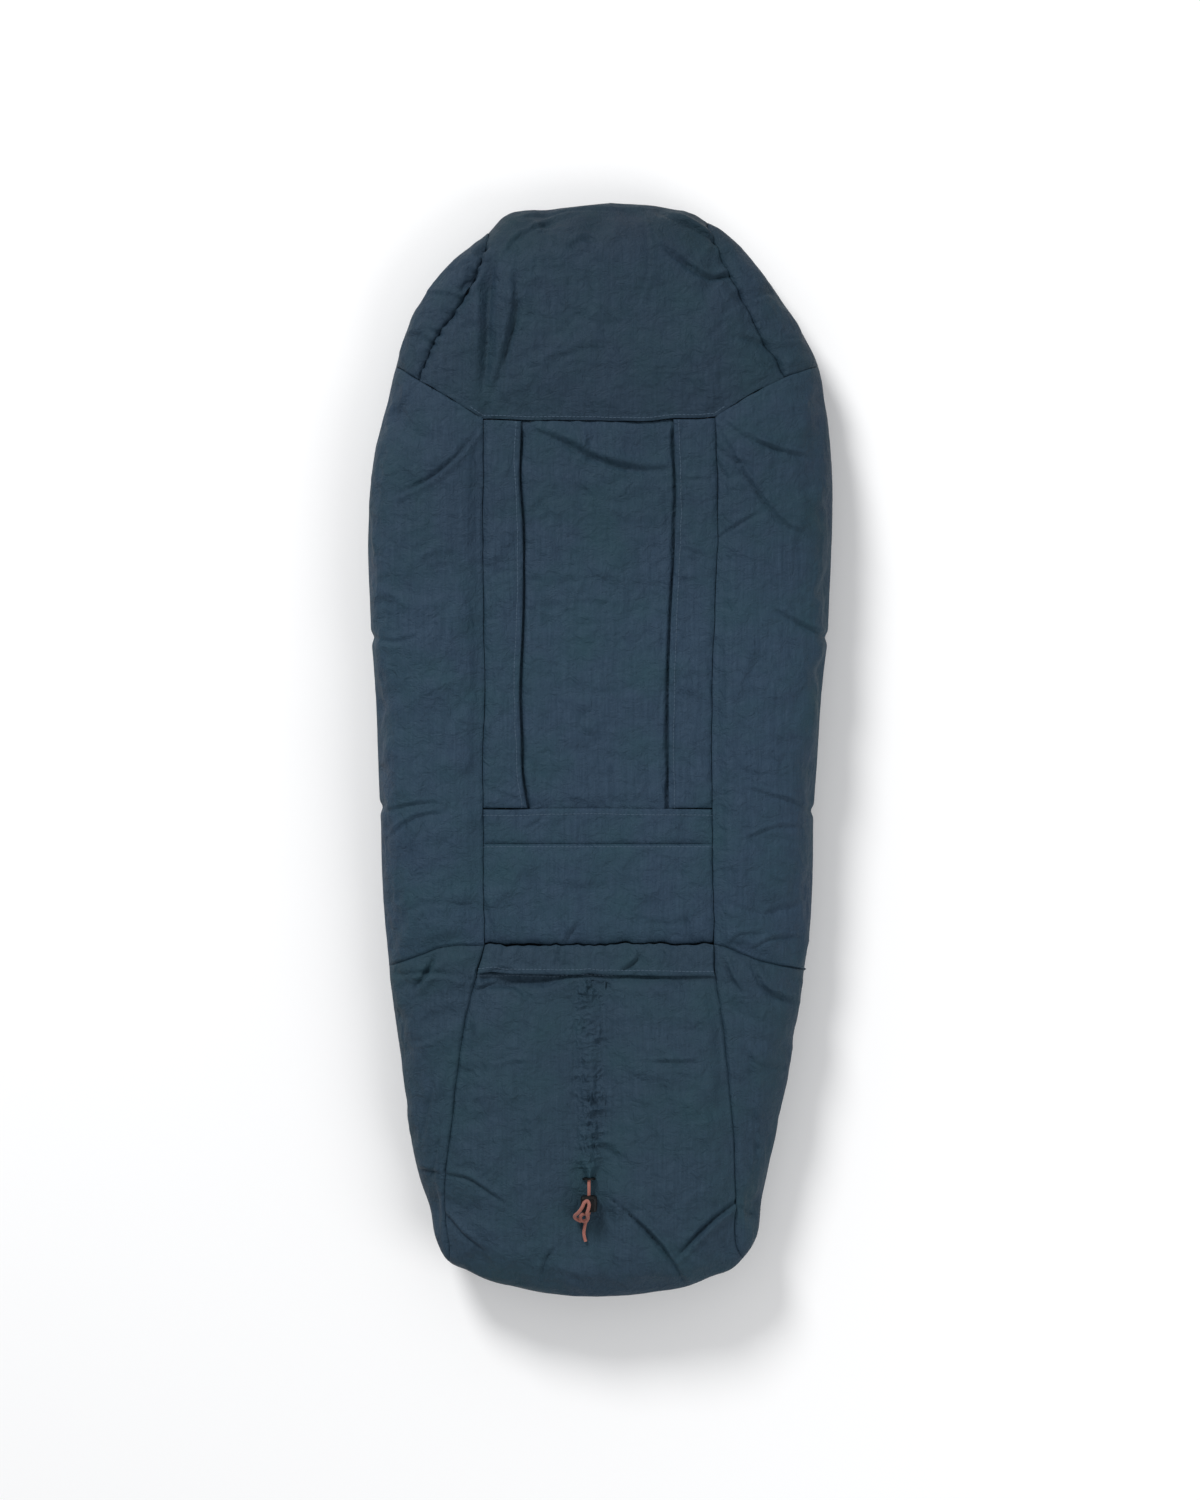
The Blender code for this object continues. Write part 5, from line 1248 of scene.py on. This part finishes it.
# Hood lining: brushed fleece 1.8 mm thick. It follows the inside of the hood, round its rolled rim to the
# face opening, where the binding holds it.
lining_edges = (seam(hood_foot), outline_between(head_outline, left_shoulder[-1], right_shoulder[-1]),
                seam(left_shoulder[2:]), seam(right_shoulder[2:]))
lining = panel_spots(*lining_edges, 4.5 * mm, under_hood, uniform=True)[2:-2, 1:-1]
depth = 13.5 * mm + 1.0 * mm * ripple(lining[..., 0], lining[..., 1], 30 * mm, 111)
lining = lining - outward(lining) * depth[..., None]
lining_piece = link("hood_fleece", sheet_mesh("hood_fleece", lining), fleece)
lining_piece.data.shade_smooth()
thick = lining_piece.modifiers.new("pile", 'SOLIDIFY')
thick.thickness = 1.8 * mm
thick.offset = -1
riding(lining_piece, "shell", "hood_lining", slot="fleece", fill=0.3)


# Binding round the face opening: a folded strip of soft nylon tape that closes the shell's edge on the
# lining. The tape is grey and dull, with fine ribs.
binding_tape = fine_grained("grey_binding_tape", ["#3b444b", "#4f5960"], 700.0, bump=(0.5, 0.0004),
                            Roughness=0.7, Sheen_Weight=0.1)


def swept(name, line, outlines, material):
    """A closed band along a line: at each place, a ring given as steps inwards and upwards from it."""
    tangent = np.gradient(line, axis=0)
    tangent /= np.linalg.norm(tangent, axis=1, keepdims=True)
    inward = np.stack([tangent[:, 1], -tangent[:, 0], 0 * tangent[:, 0]], axis=1)
    upward = np.array([0, 0, 1.0])
    rings = line[:, None] + inward[:, None] * outlines[None, :, :1] + upward * outlines[None, :, 1:]
    work = bmesh.new()
    made = [[work.verts.new(spot) for spot in ring] for ring in rings]
    for ring in made:
        for a, b in zip(ring, ring[1:] + ring[:1]):
            work.edges.new((a, b))
    work.edges.ensure_lookup_table()
    size = len(outlines)
    for number in range(len(made) - 1):
        bmesh.ops.bridge_loops(work, edges=work.edges[number * size:(number + 2) * size])
        work.edges.ensure_lookup_table()
    for ring in (made[0], made[-1]):
        bmesh.ops.contextual_create(work, geom=ring)
    bmesh.ops.recalc_face_normals(work, faces=work.faces[:])
    return linked_work(name, work, material)


def opening_edge(side):
    rim = sewn["side_panel_" + side + "_quilted"][:, -1]
    rim = rim[rim[:, 1] > 203 * mm]
    wing = sewn["hood_wing_" + side + "_quilted"][:, -1]
    wing = wing if wing[0, 1] < wing[-1, 1] else wing[::-1]
    return np.concatenate([rim[:-4:6], wing[6:-4:6]])


hood_rim = sewn["hood_quilted"][:, -1]
opening = np.concatenate([opening_edge("left"), hood_rim[8:-8:6], opening_edge("right")[::-1]])
opening[:, 2] = 8.2 * mm
opening = line_through(opening, 320)
for _ in range(40):
    opening[1:-1] = 0.25 * opening[:-2] + 0.5 * opening[1:-1] + 0.25 * opening[2:]
turns = np.linspace(0, 2 * pi, 16, endpoint=False)
fold = np.stack([2.0 + 4.0 * np.cos(turns), 7.8 * np.sin(turns)], axis=1) * mm
binding = swept("face_opening_binding", opening, fold, binding_tape)
binding.data.shade_smooth()
riding(binding, "shell", "hood_binding", slot="binding", fill=0.4)

# Cover: the quilted front that zips over the child. Navy nylon over wadding, sewn across in four places,
# with fleece inside and a bound upper edge.
def cover_half(y):
    return zip_x(y) - zip_valley


cover_low, cover_high = -468 * mm, 200 * mm
cover_length = cover_high - cover_low
rows = cover_low + cover_length * edge_spaced(int(cover_length / (2.8 * mm)), cover_length)
u, y = np.meshgrid(np.linspace(-1, 1, 110), rows)
x = u * (cover_half(y) - 0.3 * mm)
away = np.minimum(np.minimum(cover_half(y) - abs(x), y - cover_low), cover_high - y)
dip = 6.0 * np.exp(-away / (7 * mm)) + 1.5 * np.exp(-away / (1.5 * mm))
for number in range(1, 5):
    line_y = cover_low + cover_length * number / 5 + 1.2 * mm * wave(x, 50 * mm, 120 + number)
    beside = abs(y - line_y)
    dip = np.maximum(dip, 5.5 * np.exp(-beside / (7 * mm)) + 1.2 * np.exp(-beside / (1.2 * mm)))
    puckers = wave(x, 8 * mm, 130 + number) * np.exp(-beside / (12 * mm)) * (1 - np.exp(-beside / (3 * mm)))
    dip = dip + 0.7 * puckers
uneven = (1 - np.exp(-away / (10 * mm))) * (0.9 * ripple(x, y, 40 * mm, 126) + 0.7 * crumples(x, y, 127))
under = np.maximum((1.2 + dip + uneven + 0.9) * mm, 0.6 * mm)
cover_quilt = closed_pad("cover_quilt", np.stack([x, y, under], axis=2), 22.3 * mm, shell_nylon, pocketing)
riding(cover_quilt, "cover", "cover_panel", "cover_insulation", fill=0.6)
inner_x, inner_y = x * (1 - 5 * mm / 0.14), cover_low + 5 * mm + (y - cover_low) * (1 - 5 * mm / 0.668)
nap = 24.8 * mm + 0.8 * mm * ripple(inner_x, inner_y, 30 * mm, 128)
inner = np.stack([inner_x, inner_y, nap], axis=2)[::2, ::2]
riding(closed_pad("cover_fleece", inner, 22.6 * mm, fleece), "cover", "cover_lining", slot="fleece", fill=0.3)
edge_x = np.linspace(-146.3 * mm, 146.3 * mm, 120)
edge_z = 14.15 * mm + 0.4 * mm * wave(edge_x, 30 * mm, 129)
fold = np.stack([2.4 * np.cos(turns), 10.4 * np.sign(np.sin(turns)) * abs(np.sin(turns)) ** 0.7], axis=1) * mm
edge_line = np.stack([edge_x, 202.8 * mm + 0 * edge_x, edge_z], axis=1)
cover_edge = swept("cover_edge_binding", edge_line, fold, binding_tape)
cover_edge.data.shade_smooth()
riding(cover_edge, "cover", "cover_binding", slot="binding", fill=0.4)

# At the toe, a folded strip of the pouch's nylon joins the shell's lip to the cover's foot. It is held
# stretched between them.
toe_x = np.linspace(-108 * mm, 108 * mm, 90)[:, None]
toe_line = line_through([(-466.5, 34.4), (-469.6, 33.2), (-471.6, 28.0), (-471.2, 22.0), (-469.6, 16.0),
                         (-469.0, 10.0)], 14) * mm
buckle = 0.6 * mm * wave(toe_x, 9 * mm, 141) * np.sin(np.linspace(0, pi, 14))
spots = np.stack([toe_x + 0 * buckle, toe_line[:, 0] - buckle, toe_line[:, 1] + 0 * buckle], axis=2)
toe_fold = link("toe_fold", sheet_mesh("toe_fold", spots), foot_nylon)
toe_fold.data.shade_smooth()
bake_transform(toe_fold)


# Zips: nylon coils sewn to woven tapes, one half on the shell and one on the cover. The coils have
# one turn every 1.3 mm. The sliders, pulls and stops are enamelled die castings in the CAD's shapes.
# Tape: ribbed and dull. Coil: smooth nylon with a soft shine. Enamel: black and glossy, a little rubbed.
zip_tape_cloth = fine_grained("woven_zip_tape", ["#14181c", "#242a30"], 210.0, ribbed=True,
                              bump=(0.5, 0.0003), Roughness=0.75)
coil_nylon = fine_grained("moulded_nylon_coil", ["#1c2126"], 500.0, dull=(0.28, 0.5), IOR=1.53)
slider_enamel = fine_grained("black_enamelled_zinc", ["#26282b"], 350.0, dull=(0.3, 0.5), bump=(0.2, 0.0002),
                             detail=3.0, Coat_Weight=0.4, Coat_Roughness=0.2)

zip_foot, zip_end_y, zip_z, coil_pitch = -430 * mm, 188.9 * mm, 5.25 * mm, 1.3 * mm
zip_way = Vector((zip_x(zip_end_y) - zip_x(zip_foot), zip_end_y - zip_foot, 0))
for side, sign in (("left", -1), ("right", 1)):
    zip_ends = np.array([(sign * zip_x(y), y, zip_z) for y in (zip_foot, zip_end_y)])
    zip_line = zip_ends[:1] + (zip_ends[1:] - zip_ends[:1]) * np.linspace(0, 1, 60)[:, None]
    lean = Matrix.Rotation(-sign * np.arctan2(zip_way.x, zip_way.y), 4, 'Z')
    for part, toward in (("shell", sign), ("cover", -sign)):
        near, far = 2.2 * mm * toward, 13.0 * mm * toward
        ring = np.array([(near, -0.3 * mm), (far, -0.3 * mm), (far, 0.3 * mm), (near, 0.3 * mm)])
        tape = swept("zip_tape_" + side + "_" + part, zip_line, ring, zip_tape_cloth)
        riding(tape, part, "zip_chain_" + side + "_" + part, slot="zip_tape")
        work = bmesh.new()
        bmesh.ops.create_cube(work, size=1.0, matrix=Matrix.Diagonal((1.5 * mm, 0.8 * mm, 2.3 * mm, 1)))
        bmesh.ops.bevel(work, geom=work.edges[:] + work.verts[:], offset=0.3 * mm, segments=1, profile=0.5,
                        affect='EDGES', material=-1)
        step_y = 0.6 * mm + (0.6 * mm if part == "cover" else 0)
        spot = Vector(zip_ends[0]) + Vector((1.65 * mm * toward, step_y, 0))
        bmesh.ops.transform(work, matrix=Matrix.Translation(spot) @ lean, verts=work.verts[:])
        coil = linked_work("zip_coil_" + side + "_" + part, work, coil_nylon)
        turns_of_coil = coil.modifiers.new("turns", 'ARRAY')
        turns_of_coil.use_relative_offset = False
        turns_of_coil.use_constant_offset = True
        step = zip_way.normalized() * coil_pitch
        turns_of_coil.constant_offset_displace = (sign * step.x, step.y, 0)
        turns_of_coil.count = int((zip_way.length - 2 * mm) / coil_pitch)
        riding(coil, part, slot="zip_tape")
    for part in ("slider_" + side, "pull_" + side, "stop_" + side + "_foot", "stop_" + side + "_top"):
        finish_node("zip_" + part, slider_enamel)


# Topstitching: navy thread a little paler than the cloth, 3 mm stitches, pressed into the nylon beside
# the seams and along the hems
thread = fine_grained("spun_polyester_thread", ["#33475a", "#4a6073"], 1500.0, Roughness=0.6)


def at_distance(spots, edge, distance):
    """The line on a panel's surface that runs at a distance from one of its edges."""
    grid = {"first column": spots, "last column": spots[:, ::-1], "first row": spots.transpose(1, 0, 2),
            "last row": spots[::-1].transpose(1, 0, 2)}[edge]
    line = []
    for row in grid:
        way = way_along(row)
        line.append([np.interp(distance, way, row[:, axis]) for axis in range(3)])
    return np.array(line)


stitch_pitch = 3.7 * mm


def stitches(name, body, line, first=0.0, last=1.0):
    """Stitches along the part of a line between two shares of its length."""
    spots = line_through(line[::2], max(int(way_along(line)[-1] / stitch_pitch), 4) * 2)
    spots = spots[int(len(spots) * first):int(len(spots) * last)]
    work = bmesh.new()
    for start, end in zip(spots[:-1:2], spots[1::2]):
        start, end = Vector(start), Vector(end)
        run = end - start
        turn = run.to_track_quat('X', 'Z').to_matrix().to_4x4()
        spot = Matrix.Translation((start + end) / 2 + Vector((0, 0, 0.1 * mm)))
        size = Matrix.Diagonal((run.length * 1.5, 0.55 * mm, 0.4 * mm, 1))
        bmesh.ops.create_cube(work, size=1.0, matrix=spot @ turn @ size)
    bmesh.ops.bevel(work, geom=work.edges[:], offset=0.12 * mm, segments=1, profile=0.5, affect='EDGES',
                    material=-1)
    riding(linked_work(name, work, thread), body, slot="binding")


stitches("hood_topstitch", "shell", at_distance(sewn["hood_quilted"], "first column", 3.2 * mm), 0.17, 0.83)
stitches("seat_topstitch", "shell", at_distance(sewn["seat"], "last row", 3.0 * mm))
stitches("crotch_flap_hem", "crotch", at_distance(sewn["crotch_flap"], "last row", 5.5 * mm))
stitches("foot_band_hem", "band", at_distance(sewn["foot_band"], "first row", 5.0 * mm))
stitches("pouch_mouth_hem", "shell", at_distance(sewn["foot_pouch_quilted"], "first column", 4.0 * mm))
for side, edge in (("left", "last column"), ("right", "first column")):
    hem_line = at_distance(sewn["harness_flap_" + side], edge, 5.5 * mm)
    stitches("harness_flap_" + side + "_hem", "flap_" + side, hem_line)


# Studio: a floor that the camera sees white and that throws back less light, and soft lamps. The brightest
# stands beyond the head at the left.
floor_paint, tree, shader = new_material("white_floor", Roughness=0.9)
ray = node(tree, "LightPath")
seen = maths(tree, "MAXIMUM", _0=(ray, "Is Camera Ray"), _1=(ray, "Is Glossy Ray"))
set_inputs(tree, shader, Base_Color=mixed(tree, seen, (0.62, 0.62, 0.62, 1), (1.0, 1.0, 1.0, 1)))
away_side = node(tree, "NewGeometry")
clear = node(tree, "BsdfTransparent")
choice = node(tree, "MixShader", _0=(away_side, "Backfacing"), _1=(shader, "BSDF"), _2=(clear, "BSDF"))
set_inputs(tree, tree.nodes["Material Output"], Surface=(choice, "Shader"))
work = bmesh.new()
bmesh.ops.create_grid(work, x_segments=1, y_segments=1, size=12.0)
floor = linked_work("floor", work, floor_paint)
floor.location.z = -0.5 * mm

world = bpy.data.worlds.new("studio")
bpy.context.scene.world = world
world.use_nodes = True
set_inputs(world.node_tree, world.node_tree.nodes["Background"], Color=(0.97, 0.98, 1.0, 1), Strength=0.46)
for name, spot, size, power in (("key", (-1.9, 3.2, 2.95), 1.45, 157.0),
                                ("fill", (1.7, -1.3, 2.0), 2.0, 24.0)):
    lamp = bpy.data.lights.new(name, 'AREA')
    lamp.shape = 'DISK'
    lamp.size = size
    lamp.energy = power
    lamp_object = link(name, lamp)
    lamp_object.location = spot
    lamp_object.rotation_euler = (-Vector(spot)).to_track_quat('-Z', 'Y').to_euler()
bpy.context.scene.view_settings.view_transform = 'Standard'
